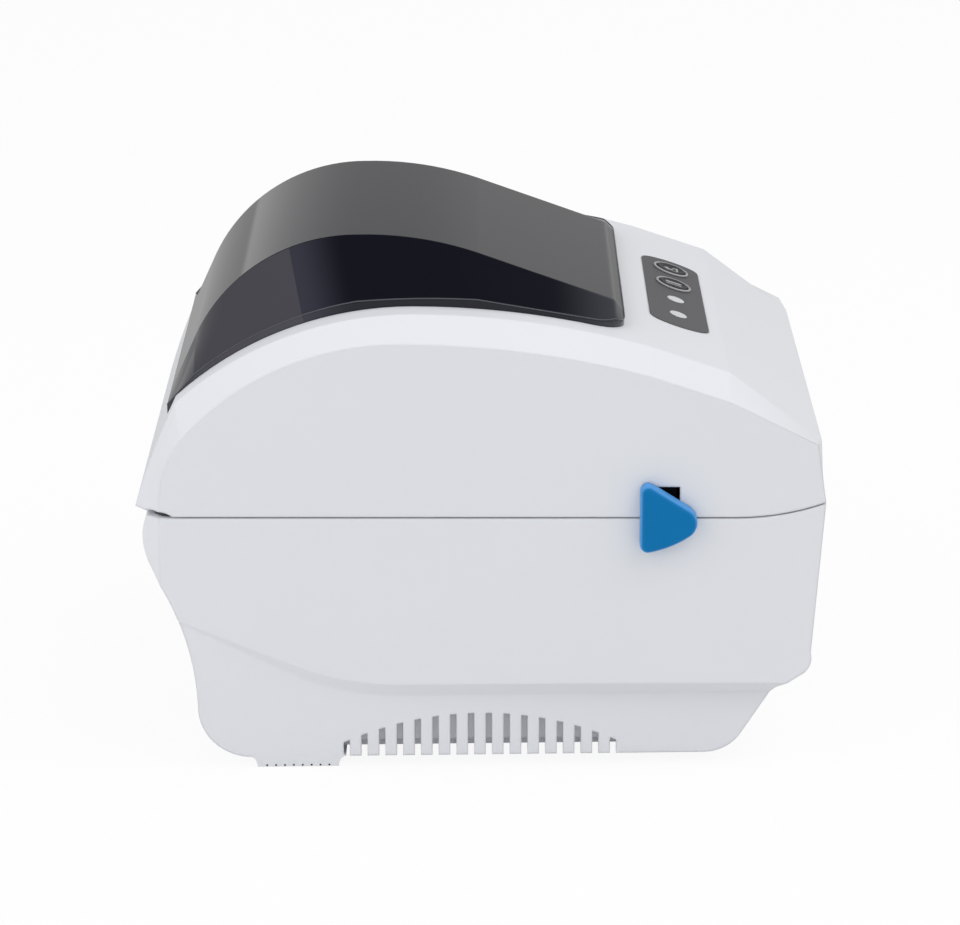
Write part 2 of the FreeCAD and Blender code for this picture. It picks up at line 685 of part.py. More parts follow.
def hinge_rooms():
    """Notches in the rear wall where the lid's lugs turn."""
    rooms = []
    for side in (1, -1):
        middle = f"{side} * hinge_place"
        x = (f"{middle} - hinge_thick / 2 - fit_gap * 2", f"{middle} + hinge_thick / 2 + fit_gap * 2")
        rooms.append(box(f"hinge_notch_{side}", x, ("hinge_y - hinge_clear", "rear"),
                         ("hinge_z - hinge_barrel * 1.6", "seam_height + seam_rise")))
        rooms.append(rod(f"hinge_cup_{side}", "X", x, ("hinge_y", "hinge_z"),
                         "hinge_barrel + fit_gap"))
    return rooms


def base_shell():
    outer = cut("base_outer", prism("base_block", "YZ", base_outline(), "0 - half", "half"),
                *both_sides("base_relief", side_relief("base_relief", "0")),
                *both_sides("base_corner", corner_wedge("base_corner", "0")))
    hollow = cut("base_hollow", prism("base_room", "YZ", base_hollow_outline(), "0 - inside", "inside"),
                 *both_sides("room_relief", side_relief("room_relief", "shell_wall")),
                 *both_sides("room_corner", corner_wedge("room_corner", "shell_wall")))
    tear_notch = box("tear_notch", ("0 - tear_width / 2 - fit_gap", "tear_width / 2 + fit_gap"),
                     ("front - front_draft", "front + front_draft + shell_wall"),
                     ("tear_under - fit_gap", "seam_height + seam_rise * 2"))
    walls = cut("base_walls", outer, hollow, vent_cutter(), port_cutter(), tear_notch, *hinge_rooms())
    posts = []
    holes = []
    rib = "shell_wall / 2"
    for k, (x, y) in enumerate(deck_posts()):
        side = 1 if k % 2 == 0 else -1
        rise = ("relief_end_height + post_radius * 3", "deck_low")
        posts.append(rod(f"deck_post_{k}", "Z", rise, (x, y), "post_radius"))
        posts.append(box(f"deck_rib_{k}", spread(side, f"{side} * {x}", "half"),
                         (f"{y} - {rib}", f"{y} + {rib}"), rise))
        holes.append(rod(f"deck_bore_{k}", "Z", ("deck_low - screw_bite", "deck_low"), (x, y),
                         "screw_radius"))
    for k, (x, y, wall) in enumerate(plate_posts()):
        rise = ("plate_top", "plate_top + screw_bite + post_radius")
        along = (wall, y) if k < 2 else (y, wall)
        posts.append(rod(f"plate_post_{k}", "Z", rise, (x, y), "post_radius"))
        posts.append(box(f"plate_rib_{k}", (f"{x} - {rib}", f"{x} + {rib}"), along, rise))
        holes.append(rod(f"plate_bore_{k}", "Z", ("plate_top", "plate_top + screw_bite"), (x, y),
                         "screw_radius"))
    for side in (1, -1):
        x = f"{side} * ({FRAME_POST[0]})"
        posts.append(rod(f"frame_post_{side}", "Z", ("toe_height", "frame_low"), (x, FRAME_POST[1]),
                         "post_radius"))
        holes.append(rod(f"frame_hole_{side}", "Z", ("frame_low - screw_bite", "frame_low"),
                         (x, FRAME_POST[1]), "screw_radius"))
    bosses = []
    for side in (1, -1):
        bosses.append(rod(f"keeper_boss_{side}", "X",
                          spread(side, "lever_high + fit_gap", "inside + shell_wall / 2"),
                          ("keeper_y", "keeper_z"), "keeper_radius * 2"))
        holes.append(rod(f"keeper_hole_{side}", "X", spread(side, "lever_high", "inside + shell_wall / 2"),
                         ("keeper_y", "keeper_z"), "keeper_radius"))
        for edge, away in enumerate((-1, 1)):
            near = f"{side} * hinge_place + {away} * (hinge_thick / 2 + fit_gap * 2)"
            far = f"{near} + {away} * hinge_thick"
            x = (near, far) if away > 0 else (far, near)
            bosses.append(rod(f"hinge_cheek_{side}_{edge}", "X", x, ("hinge_y", "hinge_z"),
                              "hinge_barrel"))
            bosses.append(box(f"hinge_gusset_{side}_{edge}", x, ("hinge_y", "rear"),
                              ("hinge_z - hinge_barrel", "hinge_z + hinge_barrel")))
        middle = f"{side} * hinge_place"
        holes.append(rod(f"hinge_bore_{side}", "X",
                         (f"{middle} - hinge_thick * 1.4", f"{middle} + hinge_thick * 1.4"),
                         ("hinge_y", "hinge_z"), "hinge_pin"))
    inner = shared("base_fittings", join("base_posts", *posts, *bosses), outer)
    node("base_shell", cut("base_shell", join("base_casing", walls, inner), *holes))


def corner_wedge(name, g):
    """What is taken off a rear corner so that the base follows the bevel of the lid."""
    corners = [
        (f"half + bevel_width * 0.3 - {g} * 0.6", f"rear - side_rear * 1.3 - {g} * 0.8"),
        ("half + bevel_width * 0.3", "rear + side_rear"),
        (f"bevel_edge - bevel_width * 0.3 - {g} * 0.6", f"rear + side_rear * 0.3 - {g} * 0.8"),
    ]
    return prism(name, "XY", corners, "0", "roll_height")


def both_sides(name, item):
    return item, mirrored(name + "_left", item)


def spread(side, near, far):
    """Limits along X of something on the right or the left side."""
    return (near, far) if side > 0 else (f"0 - ({far})", f"0 - ({near})")


def screws(name, places, seat, down):
    """Pan head screws whose heads lie on a seat and whose shanks point down or up."""
    pieces = []
    for k, (x, y) in enumerate(places):
        if down:
            head = (seat, f"{seat} + head_thick")
            shank = (f"{seat} - screw_bite", seat)
        else:
            head = (f"{seat} - head_thick", seat)
            shank = (seat, f"{seat} + screw_bite")
        pieces.append(join(f"{name}_{k}",
                           rod(f"{name}_head_{k}", "Z", head, (x, y), "screw_head"),
                           rod(f"{name}_shank_{k}", "Z", shank, (x, y), "screw_radius")))
    node(name, group(name, *pieces))


def vent_guard():
    """Upstand of the bottom plate, close behind the cooling slots."""
    ends = ("0 - vent_pitch * vent_count / 2", "vent_pitch * vent_count / 2")
    outer = [(f"{skirt_face(y)} - fit_gap", y) for y in ends]
    inner = [(f"{skirt_face(y)} - fit_gap - guard_thick", y) for y in reversed(ends)]
    return prism("vent_guard", "XY", outer + inner, "plate_top", "vent_top + shell_wall")


def bottom_plate():
    front_edge = "front + skirt_front + shell_wall + fit_gap"
    rear_edge = "rear - skirt_rear - shell_wall - fit_gap"
    corners = [
        (f"plate_margin - {skirt_face(front_edge)}", front_edge),
        (f"{skirt_face(front_edge)} - plate_margin", front_edge),
        (f"{skirt_face(rear_edge)} - plate_margin", rear_edge),
        (f"plate_margin - {skirt_face(rear_edge)}", rear_edge),
    ]
    slab = prism("plate_slab", "XY", corners, "plate_low", "plate_top")
    posts = [rod(f"board_post_{k}", "Z", ("plate_top", "board_low"), place, "post_radius")
             for k, place in enumerate(board_posts())]
    holes = [rod(f"plate_hole_{k}", "Z", ("plate_low", "plate_top"), place, "screw_radius + run_gap")
             for k, place in enumerate(plate_fixings())]
    guards = both_sides("vent_guard", vent_guard())
    node("bottom_plate", cut("bottom_plate", join("plate_with_posts", slab, *posts, *guards), *holes))
    screws("bottom_screws", plate_fixings(), "plate_low", False)


def board_posts():
    x = "board_half - post_radius * 1.5"
    return [(f"{side} * ({x})", y) for side in (1, -1)
            for y in ("board_front + post_radius * 1.5", "rear - skirt_rear - post_radius * 2.5")]


def feet():
    """Ribbed rear feet and plain front feet, all seated under the bottom plate."""
    rear_feet = []
    front_feet = []
    far = f"{skirt_face('foot_y')} - fit_gap * 2"
    pad_front = "front + skirt_front + shell_wall * 2"
    pad_far = f"{skirt_face(pad_front)} - shell_wall * 3"
    count = int(number("foot_length / foot_rib")) - 1
    for side in (1, -1):
        pad = box(f"rear_foot_{side}", spread(side, f"{far} - foot_width", far),
                  ("foot_y", "foot_y + foot_length"), ("0", "plate_low"))
        notches = []
        for k in range(count):
            y = f"foot_y + foot_length / 2 + foot_rib * ({k} - ({count} - 1) / 2)"
            notches.append(box(f"foot_notch_{side}_{k}",
                               spread(side, f"{far} - foot_notch", f"{far} + foot_notch"),
                               (f"{y} - foot_notch / 2", f"{y} + foot_notch / 2"),
                               ("skirt_low / 4", "skirt_low")))
        rear_feet.append(cut(f"ribbed_foot_{side}", pad, group(f"foot_notches_{side}", *notches)))
        front_feet.append(box(f"front_foot_{side}", spread(side, f"{pad_far} - pad_width", pad_far),
                              (pad_front, f"{pad_front} + pad_length"), ("0", "plate_low")))
    node("rear_feet", group("rear_feet", *rear_feet))
    node("front_feet", group("front_feet", *front_feet))


def media_tray():
    """Deck over the base with the trough of the label roll."""
    deck_rear = "rear - bulge_run - shell_wall - fit_gap"
    deck = box("deck", ("fit_gap - inside", "inside - fit_gap"),
               ("front + shell_wall + front_draft", deck_rear),
               ("deck_low", "deck_top"))
    across = ("roll_place", "roll_height")
    below = box("below_deck", ("0 - half", "half"), ("0 - rear", "rear"), ("0", "deck_top"))
    trough = shared("trough", rod("trough_round", "X", ("0 - tray_out", "tray_out"), across, "trough_out"),
                    below)
    room = rod("roll_room", "X", ("0 - bay", "bay"), across, "roll_radius")
    slot = box("holder_slot", ("fit_gap * 2 - bay", "bay - fit_gap * 2"),
               ("roll_place - holder_leg / 2 - fit_gap", "roll_place + holder_leg / 2 + fit_gap"),
               ("rack_low", "roll_height"))
    platen_room = box("platen_room", ("0 - gear_end - fit_gap * 2", "gear_end + fit_gap * 2"),
                      ("front", "platen_y + platen_radius + shell_wall * 2"), ("0", "roll_height"))
    sensor = box("sensor_hole", *sensor_limits("fit_gap"), ("deck_low", "deck_top"))
    tools = [room, slot, platen_room, sensor]
    tools += both_sides("deck_corner", corner_wedge("deck_corner", "(shell_wall + fit_gap)"))
    for side in (1, -1):
        tools.append(box(f"latch_hole_{side}", spread(side, "lever_low - fit_gap * 3", "inside"),
                         ("latch_y - lever_width * 2.2", "latch_y + lever_width * 1.7"),
                         ("0", "roll_height")))
        middle = f"{side} * hinge_place"
        tools.append(box(f"lug_hole_{side}", (f"{middle} - hinge_thick * 2", f"{middle} + hinge_thick * 2"),
                         ("hinge_y - hinge_clear * 2", "rear"), ("0", "roll_height")))
    for k, (x, y) in enumerate(deck_posts()):
        tools.append(rod(f"deck_hole_{k}", "Z", ("deck_low", "deck_top"), (x, y),
                         "screw_radius + run_gap"))
    node("media_tray", cut("media_tray", join("tray_block", deck, trough), *tools))
    screws("tray_screws", deck_posts(), "deck_top", True)


def sensor_limits(room):
    x = (f"sensor_side - sensor_width / 2 - {room}", f"sensor_side + sensor_width / 2 + {room}")
    y = (f"0 - sensor_place - sensor_length / 2 - {room}", f"0 - sensor_place + sensor_length / 2 + {room}")
    return x, y


def label_sensor():
    x, y = sensor_limits("0")
    head = box("sensor_head", x, y, ("deck_low", "deck_top"))
    x, y = sensor_limits("collar_thick")
    flange = box("sensor_flange", x, y, ("deck_low - deck_thick", "deck_low"))
    node("label_sensor", join("label_sensor", head, flange))


def rack(name, side):
    """Toothed bar of one roll holder; the left one runs before the pinion, the right one behind."""
    pitch = math.pi * number("rack_module")
    module = number("rack_module")
    thin = number("tooth_backlash") / 2
    low = number("0 - holder_out")
    end = number("rack_overrun")
    root = -1.1 * module
    tip = 0.8 * module
    lean = math.tan(math.radians(20))
    points = [Vector(low, root - number("rack_back"), 0), Vector(end, root - number("rack_back"), 0)]
    points.append(Vector(end, root, 0))
    first = math.floor(end / pitch - 0.75)
    for k in range(first, first - round(number("rack_teeth")), -1):
        middle = (k + 0.5) * pitch
        wide = pitch / 4 - thin
        points.append(Vector(middle + wide - root * lean, root, 0))
        points.append(Vector(middle + wide - tip * lean, tip, 0))
        points.append(Vector(middle - wide + tip * lean, tip, 0))
        points.append(Vector(middle - wide + root * lean, root, 0))
    points.append(Vector(low, root, 0))
    face = Part.Face(Part.makePolygon(points + points[:1]))
    item = doc.addObject("Part::Feature", name)
    item.Shape = face.extrude(Vector(0, 0, number("rack_thick")))
    turn = Rotation() if side < 0 else Rotation(Vector(0, 0, 1), 180)
    across = number("roll_place") + side * number("pinion_pitch")
    item.Placement = Placement(Vector(0, across, number("rack_low")), turn)
    return item


def roll_holder(side, word):
    """Arm that slides along X in the trough, with its rack below and its hub axle."""
    arm = [
        ("roll_place - holder_leg / 2", "rack_low"),
        ("roll_place + holder_leg / 2", "rack_low"),
        ("roll_place + holder_leg / 2", "holder_shoulder"),
        ("roll_place + holder_half", "holder_shoulder + holder_half"),
        ("roll_place + holder_half", "roll_height", "holder_half * 1.0001"),
        ("roll_place", "roll_height + holder_half", "holder_half * 1.0001"),
        ("roll_place - holder_half", "roll_height"),
        ("roll_place - holder_half", "holder_shoulder + holder_half"),
        ("roll_place - holder_leg / 2", "holder_shoulder"),
    ]
    low, high = spread(side, "holder_place", "holder_out")
    plate = prism(f"arm_{word}", "YZ", arm, low, high)
    foot_y = ("roll_place - holder_leg / 2", "0 - rack_edge + roll_place * 2")
    if side < 0:
        foot_y = ("rack_edge", "roll_place + holder_leg / 2")
    foot = box(f"arm_foot_{word}", (low, high), foot_y, ("rack_low", "rack_top"))
    axle = rod(f"arm_axle_{word}", "X", spread(side, "holder_place - hub_disc_thick - hub_length / 2",
                                               "holder_place"),
               ("roll_place", "roll_height"), "hub_axle")
    node(f"roll_holder_{word}", join(f"roll_holder_{word}", plate, foot, axle, rack(f"rack_{word}", side)))
    near = "holder_place - fit_gap - hub_disc_thick"
    disc = rod(f"hub_disc_{word}", "X", spread(side, near, "holder_place - fit_gap"),
               ("roll_place", "roll_height"),
               "hub_disc")
    radii = ("hub_tip", "hub_nose") if side > 0 else ("hub_nose", "hub_tip")
    nose = cone(f"hub_nose_{word}", "X", spread(side, f"{near} - hub_length", near),
                ("roll_place", "roll_height"), radii)
    bore = rod(f"hub_bore_{word}", "X",
               spread(side, "holder_place - hub_disc_thick - hub_length / 2 - fit_gap * 2", "holder_place"),
               ("roll_place", "roll_height"), "hub_axle + run_gap")
    grips = []
    for k in range(3):
        spin = 120 * k
        y = f"roll_place + hub_nose * cos({spin})"
        z = f"roll_height + hub_nose * sin({spin})"
        grips.append(rod(f"hub_flute_{word}_{k}", "X", spread(side, f"{near} - hub_length", near), (y, z),
                         "hub_axle"))
    node(f"roll_hub_{word}", cut(f"roll_hub_{word}", join(f"hub_body_{word}", disc, nose), bore, *grips))


def gear_face(teeth, module, start):
    """Outline of an involute wheel with stub teeth; one tooth points at the start angle."""
    pitch = module * teeth / 2
    base = pitch * math.cos(math.radians(20))
    root = pitch - 1.1 * module
    tip = pitch + 0.8 * module
    thin = number("tooth_backlash") / 2 / pitch

    def half_angle(radius):
        press = math.acos(min(1.0, base / radius))
        full = math.tan(math.radians(20)) - math.radians(20)
        return math.pi / 2 / teeth - thin + full - (math.tan(press) - press)
    flank = [max(base, root) + (tip - max(base, root)) * k / 4 for k in range(5)]
    side = [(r, half_angle(r)) for r in flank]
    if root < base:
        side.insert(0, (root, half_angle(base)))
    points = []
    for k in range(teeth):
        middle = math.radians(start) + 2 * math.pi * k / teeth
        around = [(r, middle - a) for r, a in side] + [(r, middle + a) for r, a in reversed(side)]
        points += [Vector(r * math.cos(a), r * math.sin(a), 0) for r, a in around]
    return Part.Face(Part.makePolygon(points + points[:1]))


def gear(name, teeth, module, thick, start, place, turn):
    """A toothed wheel as a solid, put with its axis where the turn says."""
    item = doc.addObject("Part::Feature", name)
    wheel = gear_face(round(number(teeth)), number(module), start)
    item.Shape = wheel.extrude(Vector(0, 0, number(thick)))
    item.Placement = Placement(Vector(*(number(p) for p in place)), turn)
    return item


def centring():
    """Pinion between the two racks, on the stud of the rack tray under the trough."""
    wheel = gear("centring_wheel", "centring_teeth", "rack_module", "rack_thick", 90.0,
                 ("0", "roll_place", "rack_low"), Rotation())
    bore = rod("centring_bore", "Z", ("rack_low", "rack_top"), ("0", "roll_place"),
               "centring_stud + run_gap")
    node("centring_pinion", cut("centring_pinion", wheel, bore))
    far = "roll_place * 2 - rack_edge + fit_gap"
    near = "rack_edge - fit_gap"
    floor = box("rack_floor", ("0 - tray_out", "tray_out"),
                (f"{near} - rack_tray_wall", f"{far} + rack_tray_wall"),
                ("rack_low - fit_gap - rack_tray_wall", "rack_low - fit_gap"))
    top = "roll_height - sqrt(trough_out ^ 2 - (roll_place - rack_edge + fit_gap) ^ 2)"
    walls = [box("rack_wall_front", ("0 - tray_out", "tray_out"), (f"{near} - rack_tray_wall", near),
                 ("rack_low - fit_gap", top)),
             box("rack_wall_rear", ("0 - tray_out", "tray_out"), (far, f"{far} + rack_tray_wall"),
                 ("rack_low - fit_gap", top))]
    stud = rod("rack_stud", "Z", ("rack_low - fit_gap", "rack_top"), ("0", "roll_place"), "centring_stud")
    node("rack_tray", join("rack_tray", floor, *walls, stud))


def platen():
    across = ("platen_y", "platen_z")
    rubber_end = "platen_length / 2"
    shaft = rod("platen_shaft", "X", ("0 - frame_out - gear_gap / 2", "gear_mid"), across, "platen_shaft")
    node("platen_shaft", shaft)
    sleeve = rod("platen_sleeve", "X", (f"0 - {rubber_end}", rubber_end), across, "platen_radius")
    core = rod("platen_core", "X", (f"0 - {rubber_end}", rubber_end), across, "platen_shaft")
    node("platen_rubber", cut("platen_rubber", sleeve, core))
    towards = math.degrees(math.atan2(number("idler_z - platen_z"), number("idler_y - platen_y")))
    wheel = gear("platen_wheel", "platen_teeth", "gear_module", "gear_thick", towards,
                 ("gear_near", "platen_y", "platen_z"), SIDEWAYS)
    bore = rod("platen_wheel_bore", "X", ("gear_near", "gear_mid"), across, "platen_shaft")
    node("platen_gear", cut("platen_gear", wheel, bore))
    bushes = []
    for side in (1, -1):
        sleeve = rod(f"bush_sleeve_{side}", "X", spread(side, "frame_out - bush_thick", "frame_out"), across,
                     "bush_radius")
        collar = rod(f"bush_collar_{side}", "X", spread(side, "frame_out - bush_thick", "frame_place"),
                     across,
                     "bush_radius + frame_thick")
        bore = rod(f"bush_bore_{side}", "X", spread(side, "bay - frame_thick", "gear_end"), across,
                   "platen_shaft + run_gap")
        bushes.append(cut(f"bush_{side}", join(f"bush_body_{side}", sleeve, collar), bore))
    node("platen_bushes", group("platen_bushes", *bushes))


def mechanism_frame():
    """Folded steel frame: two cheeks on a floor; the right cheek also carries motor and idler."""
    wide = "(platen_radius + frame_thick * 1.5)"
    floor = box("frame_floor_sheet", ("0 - frame_out", "frame_out"),
                (f"platen_y - {wide}", "platen_y + post_radius * 2"),
                ("frame_low", "frame_low + frame_thick"))
    top = "platen_z + bush_radius + frame_thick"
    left = box("frame_cheek_left", ("0 - frame_out", "0 - frame_place"),
               (f"platen_y - {wide}", f"platen_y + {wide}"),
               ("frame_low", top))
    reach = "(motor_radius + frame_thick)"
    corners = [
        (f"platen_y - {wide}", "frame_low - frame_thick"),
        ("idler_y - frame_thick", f"motor_z - {reach}"),
        (f"motor_y + {reach}", f"motor_z - {reach}"),
        (f"motor_y + {reach}", "frame_low + frame_thick"),
        (f"platen_y + {wide}", "deck_low - frame_thick"),
        (f"platen_y + {wide}", top),
        (f"platen_y - {wide}", top),
    ]
    right = prism("frame_cheek_right", "YZ", corners, "frame_place", "frame_out")
    stud = rod("idler_stud", "X", ("frame_out", "gear_end + gear_step"), ("idler_y", "idler_z"),
               "idler_stud")
    holes = [
        rod("cheek_bores", "X", ("0 - gear_end", "gear_end"), ("platen_y", "platen_z"), "bush_radius"),
        rod("motor_bore", "X", ("frame_place", "frame_out"), ("motor_y", "motor_z"), "motor_shaft * 2.4"),
    ]
    for side in (1, -1):
        place = (f"{side} * ({FRAME_POST[0]})", FRAME_POST[1])
        holes.append(rod(f"frame_screw_hole_{side}", "Z", ("frame_low", "frame_low + frame_thick"),
                         place,
                         "screw_radius + run_gap"))
    sheet_metal = cut("frame_sheet", join("frame_blank", floor, left, right), *holes)
    node("mechanism_frame", join("mechanism_frame", sheet_metal, stud))
    places = [(f"{side} * ({FRAME_POST[0]})", FRAME_POST[1]) for side in (1, -1)]
    screws("frame_screws", places, "frame_low + frame_thick", True)


def drive():
    """Stepper motor, its pinion and the idler that turns the platen gear."""
    motor = ("motor_y", "motor_z")
    can = rod("motor_can", "X", ("frame_place - motor_length", "frame_place - frame_thick / 2"), motor,
              "motor_radius")
    ear = "motor_radius * 1.2"
    flange = box("motor_flange", ("frame_place - frame_thick / 2", "frame_place"),
                 (f"motor_y - {ear}", f"motor_y + {ear}"),
                 ("motor_z - screw_head * 2", "motor_z + screw_head * 2"))
    well = rod("motor_well", "X", ("frame_place - motor_length / 2", "frame_place"), motor,
               "motor_shaft + run_gap")
    node("stepper_motor", cut("stepper_motor", join("motor_body", can, flange), well))
    node("motor_shaft", rod("motor_shaft", "X", ("frame_place - motor_length / 2", "gear_end"), motor,
                            "motor_shaft"))
    away = number("motor_angle")
    wheel = gear("motor_wheel", "motor_teeth", "gear_module", "gear_thick",
                 away + 180 + 180 / number("motor_teeth"), ("gear_far", "motor_y", "motor_z"), SIDEWAYS)
    bore = rod("motor_wheel_bore", "X", ("gear_far", "gear_end"), motor, "motor_shaft")
    node("motor_pinion", cut("motor_pinion", wheel, bore))
    small = gear("idler_small_wheel", "idler_small", "gear_module", "gear_thick + gear_step",
                 number("idler_angle") + 180 + 180 / number("idler_small"),
                 ("gear_near", "idler_y", "idler_z"), SIDEWAYS)
    large = gear("idler_large_wheel", "idler_large", "gear_module", "gear_thick", away,
                 ("gear_far", "idler_y", "idler_z"), SIDEWAYS)
    bore = rod("idler_bore", "X", ("gear_near", "gear_end"), ("idler_y", "idler_z"), "idler_stud + run_gap")
    node("idler_gear", cut("idler_gear", join("idler_wheels", small, large), bore))


def tear_bar():
    """Toothed strip across the front wall, under the label mouth."""
    pitch = number("tear_pitch")
    half = number("tear_width") / 2
    top = number("seam_height + seam_rise + seam_gap")
    valley = top - number("tear_tooth")
    count = int(2 * half / pitch)
    points = [Vector(half, 0, number("tear_under")), Vector(-half, 0, number("tear_under")),
              Vector(-half, 0, valley)]
    for k in range(count):
        start = pitch * (k - count / 2)
        points.append(Vector(start, 0, valley))
        points.append(Vector(start + pitch / 2, 0, top))
    points.append(Vector(pitch * count / 2, 0, valley))
    points.append(Vector(half, 0, valley))
    item = doc.addObject("Part::Feature", "tear_bar")
    face = Part.Face(Part.makePolygon(points + points[:1]))
    item.Shape = face.extrude(Vector(0, number("tear_thick"), 0))
    item.Placement = Placement(Vector(0, number("0 - rear"), 0), Rotation())
    node("tear_bar", item)


def electronics():
    """Main board on the bottom plate, with its chips, sockets and the power switch."""
    board = box("main_board", ("0 - board_half", "board_half"), ("board_front", "board_rear"),
                ("board_low", "board_top"))
    node("main_board", board)
    chip = "board_half / 5"
    chips = [
        box("chip_processor", (f"0 - {chip}", chip),
            ("board_front + board_half / 4", "board_front + board_half * 0.65"),
            ("board_top", "board_top + board_thick")),
        box("chip_memory", ("board_half * 0.35", "board_half * 0.7"),
            ("board_front + board_half / 4", "board_front + board_half / 2"),
            ("board_top", "board_top + board_thick")),
        box("chip_driver", ("0 - board_half * 0.7", "0 - board_half * 0.45"),
            ("board_front + board_half / 4", "board_front + board_half / 2"),
            ("board_top", "board_top + board_thick")),
        rod("board_capacitor", "Z", ("board_top", "board_top + board_thick * 4"),
            ("0 - board_half * 0.5", "board_rear - board_half * 0.6"), "post_radius"),
    ]
    node("board_chips", group("board_chips", *chips))
    port_y = ("heel_y - port_length", "heel_y")
    shell = box("usb_shell", ("usb_place - usb_width / 2", "usb_place + usb_width / 2"), port_y,
                ("board_top", "board_top + usb_height"))
    skin = "board_thick / 2"
    room = box("usb_room", (f"usb_place - usb_width / 2 + {skin}", f"usb_place + usb_width / 2 - {skin}"),
               ("heel_y - port_length * 0.7", "heel_y"),
               (f"board_top + {skin}", f"board_top + usb_height - {skin}"))
    tongue = box("usb_tongue", ("usb_place - usb_width / 4", "usb_place + usb_width / 4"),
                 ("heel_y - port_length * 0.8", "heel_y - board_thick"),
                 ("board_top + usb_height / 2 - board_thick", "board_top + usb_height / 2 + board_thick"))
    node("usb_socket", join("usb_socket", cut("usb_case", shell, room), tongue))
    middle = ("jack_place", "board_top + jack_side / 2")
    block = box("jack_block", ("jack_place - jack_side / 2", "jack_place + jack_side / 2"),
                (port_y[0], "heel_y - shell_wall * 2"), ("board_top", "board_top + jack_side"))
    collar = rod("jack_collar", "Y", ("heel_y - shell_wall * 2", "heel_y"), middle,
                 "jack_side / 2 - fit_gap * 3")
    bore = rod("jack_bore", "Y", ("heel_y - port_length * 0.7", "heel_y"), middle, "jack_bore")
    pin = rod("jack_pin", "Y", ("heel_y - port_length * 0.8", "heel_y - board_thick"), middle, "jack_pin")
    node("power_jack", join("power_jack", cut("jack_case", join("jack_body", block, collar), bore), pin))
    rocker_switch()


def rocker_switch():
    """Power switch in the rear wall: a frame and a key that rocks about X."""
    left = "rocker_place - rocker_width / 2"
    right = "rocker_place + rocker_width / 2"
    face = "heel_y + shell_wall * 0.9"
    back = "heel_y - rocker_depth"
    outer = "(rocker_wall + fit_gap)"
    sleeve = box("rocker_sleeve", (f"{left} - {outer}", f"{right} + {outer}"), (back, face),
                 (f"rocker_low - {outer}", f"rocker_top + {outer}"))
    bezel = box("rocker_bezel", (f"{left} - {outer} - collar_thick", f"{right} + {outer} + collar_thick"),
                (f"{face} - collar_thick", face),
                (f"rocker_low - {outer} - collar_thick", f"rocker_top + {outer} + collar_thick"))
    room = box("rocker_room", (f"{left} - fit_gap", f"{right} + fit_gap"), (f"{back} + rocker_wall", face),
               ("rocker_low - fit_gap", "rocker_top + fit_gap"))
    axle_y = "heel_y - shell_wall"
    axle_z = "rocker_low + rocker_height / 2"
    axle = rod("rocker_axle", "X", (f"{left} - fit_gap", f"{right} + fit_gap"), (axle_y, axle_z),
               "screw_radius")
    node("rocker_frame", join("rocker_frame", cut("rocker_case", join("rocker_shell", sleeve, bezel), room),
                              axle))
    reach = "(rocker_height / 2 - fit_gap * 2)"
    wing = [
        (f"0 - {reach}", "0 - screw_radius * 2"),
        (reach, "0 - screw_radius * 2"),
        (reach, "shell_wall * 1.6"),
        ("0", "shell_wall * 1.25"),
        (f"0 - {reach}", "shell_wall * 1.6"),
    ]
    body = prism("rocker_wing", "XY", wing, "0", "rocker_width")
    bore = rod("rocker_bore", "Z", ("0", "rocker_width"), ("0", "0"), "screw_radius + run_gap")
    key = cut("power_rocker", body, bore)
    lean = Rotation(Vector(1, 0, 0), number("rocker_tilt"))
    key.Placement = Placement(Vector(), lean.multiply(Rotation(Vector(0, 0, -1), Vector(0, 1, 0),
                                                               Vector(1, 0, 0))))
    put(key, left, axle_y, axle_z)
    node("power_rocker", key)


def keepers_and_pins():
    """Steel pins of the base: latch keepers and lid hinge pins."""
    keepers = []
    pins = []
    for side in (1, -1):
        keepers.append(rod(f"keeper_{side}", "X",
                           spread(side, "lever_low - fit_gap", "inside + shell_wall / 2"),
                           ("keeper_y", "keeper_z"), "keeper_radius"))
        middle = f"{side} * hinge_place"
        pins.append(rod(f"hinge_pin_{side}", "X",
                        (f"{middle} - hinge_thick * 1.4", f"{middle} + hinge_thick * 1.4"),
                        ("hinge_y", "hinge_z"), "hinge_pin"))
    node("latch_keepers", group("latch_keepers", *keepers))
    node("hinge_pins", group("hinge_pins", *pins))


def lid_outline(g):
    """Side view of the lid's top, moved inwards by g; from the rear lip over the crown to the chin."""
    return [
        (f"rear - {g}", f"lip_z + {g}", "lip_arc"),
        (f"rear - shoulder_run - {g} * 0.8", f"shoulder_height - {g} * 0.5", f"crown_arc - {g}"),
        ("crown_place", f"crown_height - {g}", f"brow_arc - {g}"),
        (f"slope_y + {g} * 0.3", f"brow_height - {g} * 0.95"),
        (f"front + facet_run + {g} * 0.45", f"facet_height - {g} * 0.9"),
        (f"front + chin_run + {g}", f"chin_height - {g} * 0.7"),
    ]


def side_outline(g):
    """The same for the flat side face of the lid, at the outer end of the bevel."""
    return [
        (f"rear - side_rear - {g}", f"lid_low + seam_gap + {g}", "side_rear_arc"),
        (f"rear - side_shoulder - {g} * 0.8", f"side_shoulder_height - {g} * 0.5", f"side_crown_arc - {g}"),
        ("crown_place", f"crown_height - side_drop - {g}", f"side_brow_arc - {g}"),
        (f"slope_y + {g} * 0.3", f"brow_height - side_drop - {g} * 0.95"),
        (f"front + facet_run + {g} * 0.45", f"facet_height - side_drop - {g} * 0.9"),
        (f"front + side_chin_run + {g}", f"side_chin_height - {g} * 0.7"),
    ]


def lid_under():
    """The lid's lower edge along the seam, from the chin to the rear."""
    return [
        ("front", "lid_front_low", "seam_arc"),
        ("front + seam_run", "lid_low"),
    ]


